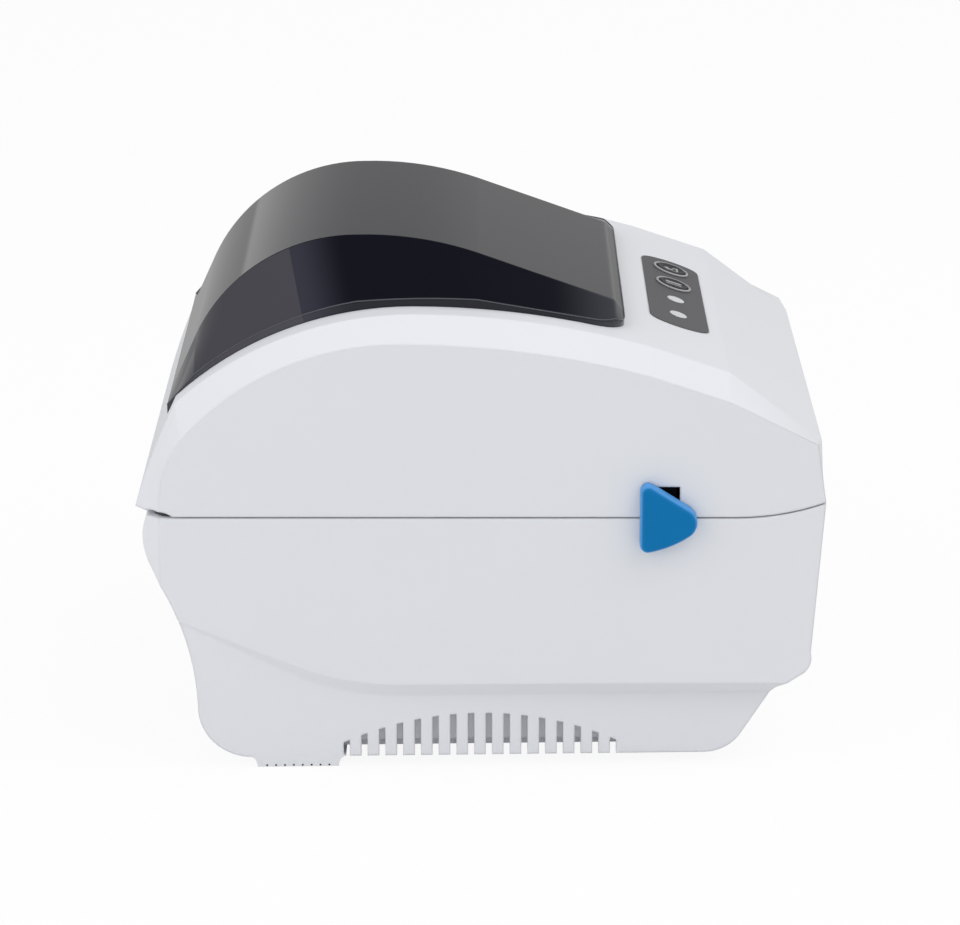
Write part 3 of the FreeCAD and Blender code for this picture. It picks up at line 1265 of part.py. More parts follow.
def lid_block():
    """The lid's outer form, solid."""
    whole = lid_outline("0") + lid_under() + [("rear - notch_run", "lid_low")]
    side = side_outline("0") + lid_under() + [("rear - side_rear - seam_gap", "lid_low")]
    return loft("lid_block", [("0 - half", side), ("0 - bevel_edge", whole), ("bevel_edge", whole),
                              ("half", side)])


def lid_room():
    """The space inside the lid, open below."""
    low = "seam_height - seam_rise"
    g = "shell_wall"
    under = [(f"front + {g}", low), ("rear - side_shoulder", low),
             ("rear - side_shoulder", f"lid_low + {g}")]
    whole = lid_outline(g) + under
    side = side_outline(g) + under
    edge = "bevel_edge - shell_wall / 2"
    return loft("lid_room", [("0 - inside", side), (f"0 - ({edge})", whole), (edge, whole),
                             ("inside", side)])


def tilt(item):
    """Put something made on a level ground onto the slope that holds the control panel."""
    item.Placement = Placement(Vector(), Rotation(Vector(1, 0, 0), 1))
    bind(item, "Placement.Rotation.Angle", "slope_angle")
    return put(item, "0", "slope_y", "brow_height")


def panel_outline():
    """Control panel seen square on: straight long edges and round ends, on the slope's own ground."""
    low = "0 - panel_place - panel_edge"
    high = "0 - panel_place + panel_edge"
    return [
        ("panel_corner - panel_half", low),
        ("panel_half - panel_corner", low, "panel_turn"),
        ("panel_half + panel_bow", f"{low} + panel_corner", "panel_arc"),
        ("panel_half + panel_bow", f"{high} - panel_corner", "panel_turn"),
        ("panel_half - panel_corner", high),
        ("panel_corner - panel_half", high, "panel_turn"),
        ("0 - panel_half - panel_bow", f"{high} - panel_corner", "panel_arc"),
        ("0 - panel_half - panel_bow", f"{low} + panel_corner", "panel_turn"),
    ]


def button_places():
    return ["button_place + button_pitch / 2", "button_place - button_pitch / 2"]


def led_places():
    return ["0 - led_place + led_pitch / 2", "0 - led_place - led_pitch / 2"]


def panel_posts():
    return [f"{side} * (panel_half + post_radius * 0.7)" for side in (1, -1)]


def lid_fittings(block):
    """Hinge lugs, carrier posts and panel posts inside the lid."""
    parts = []
    lug = [
        ("hinge_y - hinge_barrel", "hinge_z"),
        ("hinge_y + hinge_barrel", "hinge_z"),
        ("hinge_y + hinge_barrel", "lip_z + hinge_barrel * 4"),
        ("hinge_y - hinge_barrel * 1.5", "lip_z + hinge_barrel * 4"),
    ]
    bores = []
    for side in (1, -1):
        middle = f"{side} * hinge_place"
        x = (f"{middle} - hinge_thick / 2", f"{middle} + hinge_thick / 2")
        parts.append(prism(f"lug_web_{side}", "YZ", lug, *x))
        parts.append(rod(f"lug_eye_{side}", "X", x, ("hinge_y", "hinge_z"), "hinge_barrel"))
        bores.append(rod(f"lug_bore_{side}", "X", x, ("hinge_y", "hinge_z"), "hinge_pin + run_gap"))
    hung = [rod(f"carrier_post_{k}", "Z", ("carrier_top", "crown_height"), place, "post_radius")
            for k, place in enumerate(carrier_fixings())]
    for k, x in enumerate(panel_posts()):
        hung.append(tilt(group(f"panel_post_{k}",
                               rod(f"panel_post_rod_{k}", "Z", ("board_n", "0 - panel_depth"),
                                                      (x, "0 - panel_place"), "post_radius"))))
    for side in (1, -1):
        hung.append(rod(f"latch_boss_{side}", "X",
                        spread(side, "lever_high + fit_gap", "inside + shell_wall / 2"),
                        ("latch_y", "latch_z"), "latch_eye"))
        bores.append(rod(f"latch_bore_{side}", "X", spread(side, "lever_high", "inside + shell_wall / 2"),
                         ("latch_y", "latch_z"), "latch_pin"))
    for k, place in enumerate(carrier_fixings()):
        bores.append(rod(f"carrier_bore_{k}", "Z", ("carrier_top", "carrier_low + screw_bite"), place,
                         "screw_radius"))
    inside = shared("lid_hung", join("lid_posts", *hung), block)
    return parts + [inside], bores


def lid_shell(block):
    margin = "opening_margin"
    half_open = f"window_width / 2 - {margin}"
    opening = box("window_opening", (f"0 - ({half_open})", half_open),
                  (f"{margin} - window_front", f"rear - window_rear - {margin} * 2"),
                  ("lip_z", "body_height"))
    recess = prism("panel_recess", "XY", panel_outline(), "0 - panel_depth", "panel_depth")
    keyholes = [rod(f"keyhole_{k}", "Z", ("0 - shell_wall * 2", "panel_depth"), (x, "0 - panel_place"),
                    "button_radius + ring_width") for k, x in enumerate(button_places())]
    keyholes += [rod(f"light_hole_{k}", "Z", ("0 - shell_wall * 2", "panel_depth"), (x, "0 - panel_place"),
                     "led_radius + fit_gap") for k, x in enumerate(led_places())]
    holes = tilt(join("panel_holes", recess, *keyholes))
    mouth = box("label_mouth", ("0 - tear_width / 2 - fit_gap * 2", "tear_width / 2 + fit_gap * 2"),
                ("0 - rear", "front + shell_wall * 2"), ("seam_height", "mouth_z"))
    sweep = rod("hinge_sweep", "X", ("0 - half", "half"), ("hinge_y", "hinge_z"), "hinge_clear")
    slots = [box(f"latch_slot_{side}", spread(side, "lever_low", "half"),
                 ("front + slot_front", "front + slot_rear"),
                 ("seam_height", "slot_z")) for side in (1, -1)]
    walls = cut("lid_walls", block, lid_room(), opening, holes, mouth, sweep, *slots)
    fittings, bores = lid_fittings(block)
    node("lid_shell", cut("lid_shell", join("lid_casing", walls, *fittings), *bores))


def window_top(g):
    """Ridge line of the window's flat top, moved inwards by g."""
    return [
        (f"rear - window_rear - {g}", f"window_rear_height - {g}"),
        (f"rear - window_back_run - {g}", f"window_back_height - {g} * 0.5", f"window_rear_arc - {g}"),
        ("window_crown", f"body_height - {g}", f"window_front_arc - {g}"),
        ("window_slope", f"window_slope_height - {g}"),
        (f"{g} * 0.4 - window_end", f"window_end_height - {g}"),
        (f"{g} - window_front", f"window_end_height - rim_rise - {g}"),
    ]


def window_rim(g):
    """Edge line of the window's sides, a little above the lid."""
    crown = "crown_height - crown_arc"
    rise = f"rim_rise - {g}"
    back = "rear - window_back_run - crown_place"
    brow = "crown_height - brow_arc"
    return [
        (f"rear - window_rear - {g}", f"window_rear_height - {g}"),
        (f"rear - window_back_run - {g}", f"{crown} + sqrt(crown_arc ^ 2 - ({back}) ^ 2) + ({rise}) / 2",
         f"crown_arc - {g}"),
        ("window_crown", f"{crown} + sqrt(crown_arc ^ 2 - (window_crown - crown_place) ^ 2) + {rise}",
         f"brow_arc - {g}"),
        ("window_slope", f"{brow} + sqrt(brow_arc ^ 2 - (window_slope - crown_place) ^ 2) + {rise}"),
        (f"{g} * 0.4 - window_end",
         f"{brow} + sqrt(brow_arc ^ 2 - (window_end + crown_place) ^ 2) + ({rise}) * 0.8"),
        (f"{g} - window_front",
         f"{brow} + sqrt(brow_arc ^ 2 - (window_front + crown_place) ^ 2) + ({rise}) / 3"),
    ]


def window(block):
    """Smoked bubble on the lid: a flat ridge with slanting sides."""
    def form(name, g):
        under = [(f"{g} - window_front", "lip_z"), (f"rear - window_rear - {g}", "lip_z")]
        rim = window_rim(g) + under
        top = window_top(g) + under
        wide = f"window_width / 2 - {g}"
        flat = f"window_top_width / 2 - {g} * 0.7"
        return loft(name, [(f"0 - ({wide})", rim), (f"0 - ({flat})", top), (flat, top), (wide, rim)])
    side = "window_width / 2"
    plan = [
        (side, "rear"),
        (f"0 - {side}", "rear"),
        (f"0 - {side}", "window_corner - window_front", "window_corner * 1.0001"),
        (f"window_corner - {side}", "0 - window_front"),
        (f"{side} - window_corner", "0 - window_front", "window_corner * 1.0001"),
        (side, "window_corner - window_front"),
    ]
    bubble = cut("window_glazing", form("window_bubble", "0"), form("window_room", "window_wall"), block)
    node("window", shared("window", bubble,
                          prism("window_plan", "XY", plan, "lip_z", "body_height + rim_rise")))


def control_panel():
    """Panel plate, its two keys, the status lights and the circuit board under them."""
    plate = prism("panel_plate", "XY", panel_outline(), "0 - panel_depth", "panel_proud")
    rings = [rod(f"panel_ring_{k}", "Z", ("0 - panel_depth", "panel_proud + ring_proud"),
                 (x, "0 - panel_place"),
                 "button_radius + fit_gap + ring_width") for k, x in enumerate(button_places())]
    holes = [rod(f"panel_hole_{k}", "Z", ("0 - shell_wall", "button_flange"), (x, "0 - panel_place"),
                 "button_radius + fit_gap") for k, x in enumerate(button_places())]
    holes += [rod(f"panel_light_{k}", "Z", ("0 - shell_wall", "button_flange"), (x, "0 - panel_place"),
                  "led_radius")
              for k, x in enumerate(led_places())]
    node("control_panel", tilt(cut("control_panel", join("panel_face", plate, *rings), *holes)))
    for word, x in zip(("feed_button", "pause_button"), button_places()):
        place = (x, "0 - panel_place")
        cap = rod(f"{word}_cap", "Z", ("cap_low - collar_thick", "panel_proud + button_proud"), place,
                  "button_radius")
        collar = rod(f"{word}_collar", "Z", ("cap_low - collar_thick", "cap_low"), place, "button_flange")
        node(word, tilt(join(word, cap, collar)))
    lights = [rod(f"led_{k}", "Z", ("board_n + fit_gap", "panel_proud + led_proud"), (x, "0 - panel_place"),
                  "led_radius") for k, x in enumerate(led_places())]
    node("status_lights", tilt(group("status_lights", *lights)))
    board = box("key_board", ("0 - panel_half - post_radius * 1.7", "panel_half + post_radius * 1.7"),
                ("0 - panel_place - panel_edge * 0.8", "0 - panel_place + panel_edge * 0.8"),
                ("board_n - board_thick", "board_n"))
    node("panel_board", tilt(group("panel_board", board)))
    switches = []
    for k, x in enumerate(button_places()):
        side = "switch_side / 2"
        case = box(f"switch_case_{k}", (f"{x} - {side}", f"{x} + {side}"),
                   (f"0 - panel_place - {side}", f"0 - panel_place + {side}"),
                   ("board_n", "board_n + switch_height"))
        stem = rod(f"switch_stem_{k}", "Z", ("board_n", "cap_low - collar_thick - button_travel - fit_gap"),
                   (x, "0 - panel_place"), "screw_radius")
        switches.append(join(f"switch_{k}", case, stem))
    node("key_switches", tilt(group("key_switches", *switches)))


def carrier_fixings():
    return [(f"{side} * carrier_post", y) for side in (1, -1)
            for y in ("head_pivot_y + head_eye", "sink_front + head_eye * 1.5")]


def print_head():
    """Sprung head over the platen: carrier, heat sink with its ceramic, pivot pin and springs."""
    sheet_y = ("carrier_front", "carrier_back")
    top = box("carrier_sheet", ("0 - carrier_half", "carrier_half"), sheet_y,
              ("carrier_low", "carrier_top"))
    ears = [box(f"carrier_ear_{side}", spread(side, "carrier_half - carrier_thick", "carrier_half"),
                ("head_pivot_y - carrier_rear", "carrier_back"),
                ("head_pivot_z - head_eye", "carrier_top"))
            for side in (1, -1)]
    holes = [rod(f"carrier_hole_{k}", "Z", ("carrier_low", "carrier_top"), place,
                 "screw_radius + run_gap")
             for k, place in enumerate(carrier_fixings())]
    pivot = ("head_pivot_y", "head_pivot_z")
    holes.append(rod("ear_bores", "X", ("0 - carrier_half", "carrier_half"), pivot, "head_pin"))
    node("head_carrier", cut("head_carrier", join("carrier_blank", top, *ears), *holes))
    screws("carrier_screws", carrier_fixings(), "carrier_low", False)
    node("head_pin", rod("head_pin", "X", ("0 - carrier_half", "carrier_half"), pivot, "head_pin"))
    block = box("sink_block", ("0 - sink_half", "sink_half"), ("sink_front", "sink_front + sink_depth"),
                ("sink_low", "sink_top"))
    grooves = []
    for k in range(round(number("fin_count"))):
        y = f"sink_front + sink_depth / 2 + fin_pitch * ({k} - (fin_count - 1) / 2)"
        for side in (1, -1):
            grooves.append(box(f"sink_groove_{k}_{side}",
                               spread(side, "spring_place + spring_radius * 2", "sink_half"),
                               (f"{y} - fin_width / 2", f"{y} + fin_width / 2"),
                               ("sink_top - fin_depth", "sink_top")))
        grooves.append(box(f"sink_groove_{k}_mid",
                           ("spring_radius * 2 - spring_place", "spring_place - spring_radius * 2"),
                           (f"{y} - fin_width / 2", f"{y} + fin_width / 2"),
                           ("sink_top - fin_depth", "sink_top")))
    lugs = []
    for side in (1, -1):
        x = spread(side, "lug_place", "lug_place + lug_thick")
        lugs.append(box(f"head_lug_{side}", x, ("sink_front + sink_depth - head_eye", "head_pivot_y"),
                        ("sink_low + collar_thick", "head_pivot_z + head_eye")))
        lugs.append(rod(f"head_eye_{side}", "X", x, pivot, "head_eye"))
    finned = cut("sink_fins", block, group("sink_grooves", *grooves))
    bore = rod("head_bore", "X", ("0 - sink_half", "sink_half"), pivot, "head_pin + run_gap")
    node("heat_sink", cut("heat_sink", join("sink_body", finned, *lugs), bore))
    element_y = ("sink_front", "sink_front + element_depth")
    node("head_element", box("head_element", ("fit_gap - sink_half", "sink_half - fit_gap"), element_y,
                             ("element_low", "sink_low")))
    node("head_springs", group("head_springs", *(head_spring(side) for side in (1, -1))))


def head_spring(side):
    """Compression spring as one wire of quarter-turn arcs between heat sink and carrier."""
    radius = number("spring_radius")
    wire = number("spring_wire")
    turns = round(number("spring_turns"))
    low = number("sink_top") + wire
    rise = (number("carrier_low") - wire - low) / turns

    def at(quarter):
        spin = quarter * math.pi / 2
        return Vector(radius * math.cos(spin), radius * math.sin(spin), low + rise * quarter / 4)
    arcs = [Part.Arc(at(k), at(k + 0.5), at(k + 1)).toShape() for k in range(turns * 4)]
    path = Part.Wire(arcs)
    ring = Part.Wire([Part.Circle(at(0), arcs[0].tangentAt(arcs[0].FirstParameter), wire).toShape()])
    item = doc.addObject("Part::Feature", f"head_spring_{side}")
    item.Shape = path.makePipeShell([ring], True, False)
    item.Placement = Placement(Vector(side * number("spring_place"), number("platen_y"), 0), Rotation())
    print("head spring: gap between turns", round(rise - 2 * wire, 3), "mm")
    return item


def latch(side, word):
    """Finger latch: knob outside the lid, stem through its slot, lever and hook inside."""
    front_edge = "latch_y - lever_width / 2"
    rear_edge = "latch_y + lever_width / 2"
    hook_top = "keeper_z - keeper_radius - fit_gap * 1.5"
    lever = [
        (front_edge, "latch_z"),
        (front_edge, f"{hook_top} - hook_thick"),
        (f"{rear_edge} + hook_reach / 3", f"{hook_top} - hook_thick"),
        (f"{rear_edge} + hook_reach", hook_top),
        (rear_edge, hook_top),
        (rear_edge, "latch_z"),
    ]
    x = spread(side, "lever_low", "lever_high")
    arm = prism(f"lever_{word}", "YZ", lever, *x)
    eye = rod(f"lever_eye_{word}", "X", x, ("latch_y", "latch_z"), "latch_eye")
    stem_rear = "front + slot_rear - fit_gap * 3"
    stem = box(f"latch_stem_{word}", spread(side, "lever_low", "half + fit_gap + knob_thick / 2"),
               (f"{stem_rear} - stem_width", stem_rear),
               ("lid_low + seam_gap * 4", "slot_z - stem_width / 2"))
    knob_x = spread(side, "half + fit_gap", "half + fit_gap + knob_thick")
    triangle = [
        ("front + knob_tip", "knob_mid_z", "knob_arc"),
        ("front + knob_rear", "knob_low_z"),
        ("front + knob_rear", "knob_top_z"),
    ]
    knob = prism(f"knob_{word}", "YZ", triangle, *knob_x)
    tip = number("front + knob_tip")
    across = Vector(1, 0, 0)
    round_edges(knob, f"knob_nose_{word}", "knob_nose",
                lambda e: lies_along(e, across) and abs(e.Vertexes[0].Y - tip) < 1e-4)
    round_edges(knob, f"knob_corner_{word}", "knob_corner",
                lambda e: lies_along(e, across) and e.Vertexes[0].Y > number("front + knob_rear") - 1e-4)
    outer = number("half + fit_gap + knob_thick") * side
    round_edges(knob, f"knob_edge_{word}", "knob_edge",
                lambda e: all(abs(v.X - outer) < 1e-4 for v in e.Vertexes))
    bore = rod(f"lever_bore_{word}", "X", x, ("latch_y", "latch_z"), "latch_pin + run_gap")
    node(f"latch_{word}", cut(f"latch_{word}", join(f"latch_body_{word}", arm, eye, stem, knob), bore))


def latch_pins():
    pins = []
    place = ("latch_y", "latch_z")
    for side in (1, -1):
        shank = rod(f"latch_shank_{side}", "X",
                    spread(side, "lever_low - fit_gap", "inside + shell_wall / 2"),
                    place, "latch_pin")
        head = rod(f"latch_head_{side}", "X",
                   spread(side, "lever_low - fit_gap - head_thick", "lever_low - fit_gap"),
                   place, "latch_pin * 1.6")
        pins.append(join(f"latch_pin_{side}", shank, head))
    node("latch_pins", group("latch_pins", *pins))


def check_and_write():
    """Stop on any failed object, then write one file for each sub-part."""
    doc.recompute()
    failed = [item.Name for item in doc.Objects if "Invalid" in item.State or "Error" in item.State]
    for name, item in nodes.items():
        shape = item.Shape
        if shape.isNull() or not shape.isValid() or not shape.Solids:
            failed.append(name)
    if failed:
        raise RuntimeError("failed: " + ", ".join(failed))
    os.makedirs("parts", exist_ok=True)
    for name, item in nodes.items():
        item.Shape.exportStep(f"parts/{name}.step")
    print(len(nodes), "sub-parts written")


def main():
    fill_sheet()
    base_shell()
    bottom_plate()
    feet()
    media_tray()
    label_sensor()
    for side, word in ((-1, "left"), (1, "right")):
        roll_holder(side, word)
        latch(side, word)
    centring()
    platen()
    mechanism_frame()
    drive()
    tear_bar()
    electronics()
    keepers_and_pins()
    block = lid_block()
    lid_shell(block)
    window(block)
    control_panel()
    print_head()
    latch_pins()
    check_and_write()


main()
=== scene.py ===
"""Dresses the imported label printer: its finishes, keys, signs, screws, feet and a plain studio."""
import math

import bmesh
import bpy
from bpy.props import FloatProperty, FloatVectorProperty, PointerProperty
from mathutils import Matrix, Vector


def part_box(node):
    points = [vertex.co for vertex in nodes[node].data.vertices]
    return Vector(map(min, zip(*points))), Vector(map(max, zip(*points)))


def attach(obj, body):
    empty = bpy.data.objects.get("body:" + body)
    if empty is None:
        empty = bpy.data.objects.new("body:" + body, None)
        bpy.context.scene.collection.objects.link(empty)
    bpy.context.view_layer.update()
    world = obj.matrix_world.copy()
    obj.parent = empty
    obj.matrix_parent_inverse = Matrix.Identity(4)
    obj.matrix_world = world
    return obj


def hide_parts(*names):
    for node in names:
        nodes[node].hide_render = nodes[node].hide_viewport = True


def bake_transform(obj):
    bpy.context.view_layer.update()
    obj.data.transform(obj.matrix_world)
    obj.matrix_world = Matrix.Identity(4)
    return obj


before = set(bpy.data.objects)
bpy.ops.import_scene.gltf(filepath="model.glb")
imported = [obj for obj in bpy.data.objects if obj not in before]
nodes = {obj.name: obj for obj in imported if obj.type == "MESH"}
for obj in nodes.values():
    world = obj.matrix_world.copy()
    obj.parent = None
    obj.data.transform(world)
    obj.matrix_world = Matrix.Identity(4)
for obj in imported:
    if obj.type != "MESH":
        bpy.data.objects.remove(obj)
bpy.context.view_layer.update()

bl_info = {
    "name": "Label printer dressing",
    "version": (1, 0, 0),
    "blender": (4, 5, 0),
    "location": "3D View > Sidebar > Printer",
    "description": "Finishes and small pieces for a desktop label printer",
    "category": "Object",
}


def tint(name, words, value):
    """A colour that the sidebar shows."""
    return FloatVectorProperty(name=name, description=words, default=value, size=3, min=0, max=1,
                               subtype="COLOR")


def length(name, words, value):
    """A length that the sidebar shows, in metres."""
    return FloatProperty(name=name, description=words, default=value, unit="LENGTH", precision=5)


def site(name, words, value):
    """A place that the sidebar shows, in metres."""
    return FloatVectorProperty(name=name, description=words, default=value, size=3, subtype="TRANSLATION",
                               unit="LENGTH")


def level(name, words, value, unit="NONE"):
    """A number that the sidebar shows."""
    return FloatProperty(name=name, description=words, default=value, unit=unit)


class PrinterColours(bpy.types.PropertyGroup):
    """Colours of the printer's finishes."""
    casing: tint("Casing", "Moulded casing", (0.742, 0.757, 0.792))
    window: tint("Window", "Smoked window", (0.0030, 0.0034, 0.0085))
    # Painted light: the next two colours paint a glow and a view of a lit inner wall through the rear of the
    # window's sides.
    window_dusk: tint("Window dusk", "Sides of the window close before its inner wall", (0.034, 0.034, 0.05))
    window_rear: tint("Window rear", "Sides of the window over its inner wall", (0.058, 0.057, 0.068))
    # Painted reflection on the window's sides at its front corners.
    window_front: tint("Window front", "Sides of the window at its front corners", (0.040, 0.041, 0.050))
    # The bead is paler than the window: a painted highlight along the rim, over the bead's own gloss.
    bead: tint("Bead", "Polished bead along the window's rim", (0.085, 0.085, 0.10))
    panel: tint("Panel", "Film of the control panel", (0.110, 0.109, 0.115))
    key: tint("Key", "Key caps", (0.052, 0.052, 0.056))
    mark: tint("Mark", "Printed signs and rings on the keys", (0.40, 0.40, 0.41))
    lens: tint("Lens", "Milky status lights", (0.68, 0.69, 0.71))
    latch: tint("Latch", "Finger latches", (0.001, 0.165, 0.42))
    # Painted highlight on the latches' edges and slanted faces.
    latch_edge: tint("Latch edge", "Edges of the finger latches", (0.10, 0.34, 0.74))
    tray: tint("Tray", "Label tray and roll holders", (0.048, 0.049, 0.053))
    black: tint("Black plastic", "Hubs, sockets, tear bar and switch", (0.017, 0.017, 0.019))
    rubber: tint("Rubber", "Platen roller", (0.022, 0.022, 0.023))
    # Painted shade on the latch's stem and lever, inside the lid.
    latch_root: tint("Latch root", "Stem and lever of a latch, inside the lid", (0.006, 0.007, 0.009))
    foot: tint("Foot", "Front feet", (0.72, 0.73, 0.755))
    # Painted shade inside the holes of the rear feet.
    foot_hole: tint("Foot hole", "Small holes along the rear feet", (0.30, 0.30, 0.31))
    steel: tint("Steel", "Shafts, pins, springs and the motor", (0.56, 0.565, 0.58))
    screw: tint("Screw", "Screws", (0.504, 0.5085, 0.522))
    sheet: tint("Sheet steel", "Mechanism frame and head carrier", (0.50, 0.51, 0.53))
    sink: tint("Aluminium", "Heat sink", (0.68, 0.685, 0.70))
    ceramic: tint("Ceramic", "Print head element", (0.78, 0.77, 0.72))
    board: tint("Board", "Circuit boards", (0.014, 0.11, 0.045))
    trace: tint("Trace", "Copper lines under the lacquer", (0.03, 0.21, 0.09))
    solder: tint("Solder", "Soldered dots on the boards", (0.55, 0.56, 0.57))
    chip: tint("Chip", "Components on the boards", (0.016, 0.016, 0.017))
    gear: tint("Gear", "Nylon gears", (0.74, 0.73, 0.67))
    bush: tint("Bush", "Bearing bushes", (0.10, 0.058, 0.034))
    switch_ink: tint("Switch ink", "Signs on the power key", (0.78, 0.78, 0.77))
    dust: tint("Dust", "Thin dust inside the label bay", (0.45, 0.43, 0.40))
    floor: tint("Floor", "Studio floor", (0.82, 0.82, 0.82))


class PrinterSizes(bpy.types.PropertyGroup):
    """Sizes of the small details."""
    soft_edge: length("Soft edge", "Rounding that the casing's edges show", 0.0012)
    fine_edge: length("Fine edge", "Rounding that small edges show", 0.0003)
    lap_edge: length("Lap edge", "Rounding that the rear feet show", 0.00005)
    print_edge: length("Print edge", "Rounding that printed signs show", 0.0001)
    small_edge: length("Small edge", "Rounding that keys, gears and chips show", 0.0002)
    latch_edge: length("Latch edge", "Rounding that the finger latches show", 0.0011)
    grain: length("Grain", "Size of the moulded grain", 0.0005)
    smooth_grain: length("Smooth grain", "Grain of the panel, the keys and the platen", 0.0003)
    print_grain: length("Print grain", "Grain of printed signs and chips", 0.0002)
    ring_bead: length("Ring bead", "Radius of the bead round a key", 0.00041)
    rim_bead: length("Rim bead", "Radius of the bead along the window's rim", 0.00022)
    dish: length("Dish", "Hollow in the top of a key", 0.0006)
    mark_lift: length("Mark lift", "Printed sign above the key", 0.00004)
    mark_depth: length("Mark depth", "Printed sign from its face down into the key", 0.0002)
    foot_hole: length("Foot hole", "Radius of a hole in a rear foot", 0.00035)
    hole_depth: length("Hole depth", "Depth of those holes", 0.0012)
    foot_pitch: length("Foot pitch", "Spacing of those holes", 0.0029)
    foot_flare: length("Foot flare", "Hollow curve at the ends of a rear foot", 0.0024)
    switch_mark: length("Switch mark", "Half the height of a sign on the power key", 0.0012)
    recess: length("Recess", "Depth of a screw's cross recess", 0.0011)
    thread: length("Thread", "Pitch of a screw's thread", 0.0011)


class PrinterStudio(bpy.types.PropertyGroup):
    """Camera, floor and light."""
    camera: site("Camera", "Place of the camera", (-1.2454, 0.0, 0.4861))
    pitch: FloatProperty(name="Pitch", description="How far the camera looks down", subtype="ANGLE",
                         default=math.radians(18.2))
    lens: level("Lens", "Focal length", 143.94, "CAMERA")
    reach: length("Reach", "Radius of the floor", 12.0)
    aim: site("Aim", "Where the soft lights point", (0.0, 0.0, 0.08))
    key: level("Key", "Power of the soft light at the front", 13.8, "POWER")
    key_place: site("Key place", "Place of that light", (-0.42, -0.92, 1.5))
    key_side: length("Key side", "Width and height of that light", 1.6)
    back: level("Back", "Power of the soft light at the rear", 7.0, "POWER")
    back_place: site("Back place", "Place of that light", (-0.6, 1.15, 0.8))
    back_side: length("Back side", "Width and height of that light", 1.4)
    ambient: level("Ambient", "Level of the surrounding light", 0.66)
    horizon: level("Horizon", "How bright the walls look in a gloss", 0.70)
    horizon_top: level("Horizon top", "Steepness at which a gloss sees the ceiling alone", 0.5)
    ceiling: level("Ceiling", "How bright the ceiling looks in a gloss", 0.12)
    carpet: level("Carpet", "How bright the floor looks in a gloss", 0.42)
    whiteness: level("Whiteness", "Share of plain white in the floor, over its shadow", 0.92)


# The control panel's slope: where it starts, how it leans, and how far down it the keys and lights stand.
PANEL_LEAN = math.atan(8.5 / 25.4)
SLOPE = Matrix.Translation((0, -0.0542, 0.1402)) @ Matrix.Rotation(PANEL_LEAN, 4, "X")
PANEL_ROW = -0.0118
# Places of the keys and lights along that row.
KEYS = {"feed_button": 0.0287, "pause_button": 0.0097}
LIGHTS = (-0.0081, -0.0263)
# Heights over the panel and radii: a key's cap, the collar that keeps it in, the ring round it, and a light.
CAP_TOP = 0.0012
CAP_LOW = -0.0019
CAP_RADIUS = 0.0049
CAP_EDGE = 0.0004
DISH_RADIUS = 0.86 * CAP_RADIUS
COLLAR = 0.001
COLLAR_RADIUS = 0.0064
RING_TOP = 0.0008
RING_RADIUS = 0.00585
LIGHT_TOP = 0.0007
LIGHT_LOW = -0.0078
LIGHT_DOME = 0.0004
LIGHT_RADIUS = 0.003
# How deep the bead of that ring is sunk into the panel, as a share of the bead's radius.
RING_SINK = 0.4
# One unit of the signs' drawings, in metres.
SIGN_UNIT = 1e-4
# The window's sides start this far from the middle. Its rim lies this far ahead and ends this far behind.
WINDOW_TOP = 0.0501
RIM_FRONT = 0.0465
RIM_REAR = 0.0995
# Parts of a normal along Z: a face of the rim has less than the first, and a slope more than the second.
RIM_UPRIGHT = 0.1
RIM_SLOPE = 0.3
# Where the painted view of the inner wall under the window ends, along Y at the level of the table, and its
# lean with the height.
WALL_LINE = 0.0184
WALL_EDGE = (0.0183, 0.0186)
WALL_LEAN = -0.26
# The window's front corners get softer, and paler with a painted reflection, over these distances ahead of
# the middle.
CORNER_SOFT = (0.018, 0.044)
CORNER_RADIUS = (0.0008, 0.0024)
CORNER_REFLECTION = (0.022, RIM_FRONT)
# How far tones and polish drift, as shares of themselves; tones of metal, and its painted edge highlight; and
# the roughness of some finishes.
WINDOW_DRIFT = 0.15
FLOOR_DRIFT = 0.005
PLASTIC_POLISH = 0.12
METAL_POLISH = 0.25
METAL_TONES = (0.9, 1.08)
METAL_EDGE_HIGHLIGHT = 1.2
WINDOW_ROUGH = (0.06, 0.1)
BOARD_ROUGH = (0.34, 0.26)
LACQUER_ROUGH = 0.12
BUMP_STRENGTH = 0.6
# Size of the copper maze on a board, and radius of a soldered dot in it.
MAZE = 0.0028
SOLDER_DOT = 0.13
# Points nearer than this are one point.
MERGE = 1e-6
# Spacing of nodes in the editor, and how many stand in a row.
NODE_STEP = 240
NODE_ROW = 8
# The screws' nodes, with the bodies that carry them.
SCREWS = {"carrier_screws": "lid", "frame_screws": "base", "bottom_screws": "base", "tray_screws": "base"}
# Shares of a screw head's radius: points of the head lie outside the first; then the shank and the flat top.
HEAD_POINTS = 0.8
SCREW_CORE = 1.5 / 2.8
HEAD_FLAT = 0.62
# Straight part of that head's height, and the angle from which its edges stay sharp.
HEAD_WALL = 0.45
HEAD_SHARP = math.radians(35)
# Root of the thread as a share of the shank, and where the thread starts as a share of its pitch.
THREAD_ROOT = 0.86
THREAD_START = 0.3
# Cross recess: length and half width of an arm as shares of the head's radius, and size at its floor.
CROSS_ARM = 0.46
CROSS_SLOT = 0.13
CROSS_TAPER = 0.55
# Half the width over the rear feet, a hair more than the skirt's, at the middle, and its growth to the rear.
SKIRT_HALF = 0.08303
SKIRT_SPREAD = 0.0289
SKIRT_LOW = 0.0035
# How far a rear foot laps over the skirt's lower edge, so that the two look like one moulding.
FOOT_LAP = 0.0013
# Height of the holes in a rear foot, over their radius, and the place of their painted shade on that foot.
HOLE_HEIGHT = 1.4
HOLE_SHADE = 1
# A latch gets painted shade nearer to the middle than this, where its stem goes into the lid.
LATCH_ROOT = 0.0858
# A painted highlight makes it paler, up to this share, where its face turns from square to the side to this
# slant.
LATCH_SLANT = (0.99, 0.55)
LATCH_HIGHLIGHT = 0.85
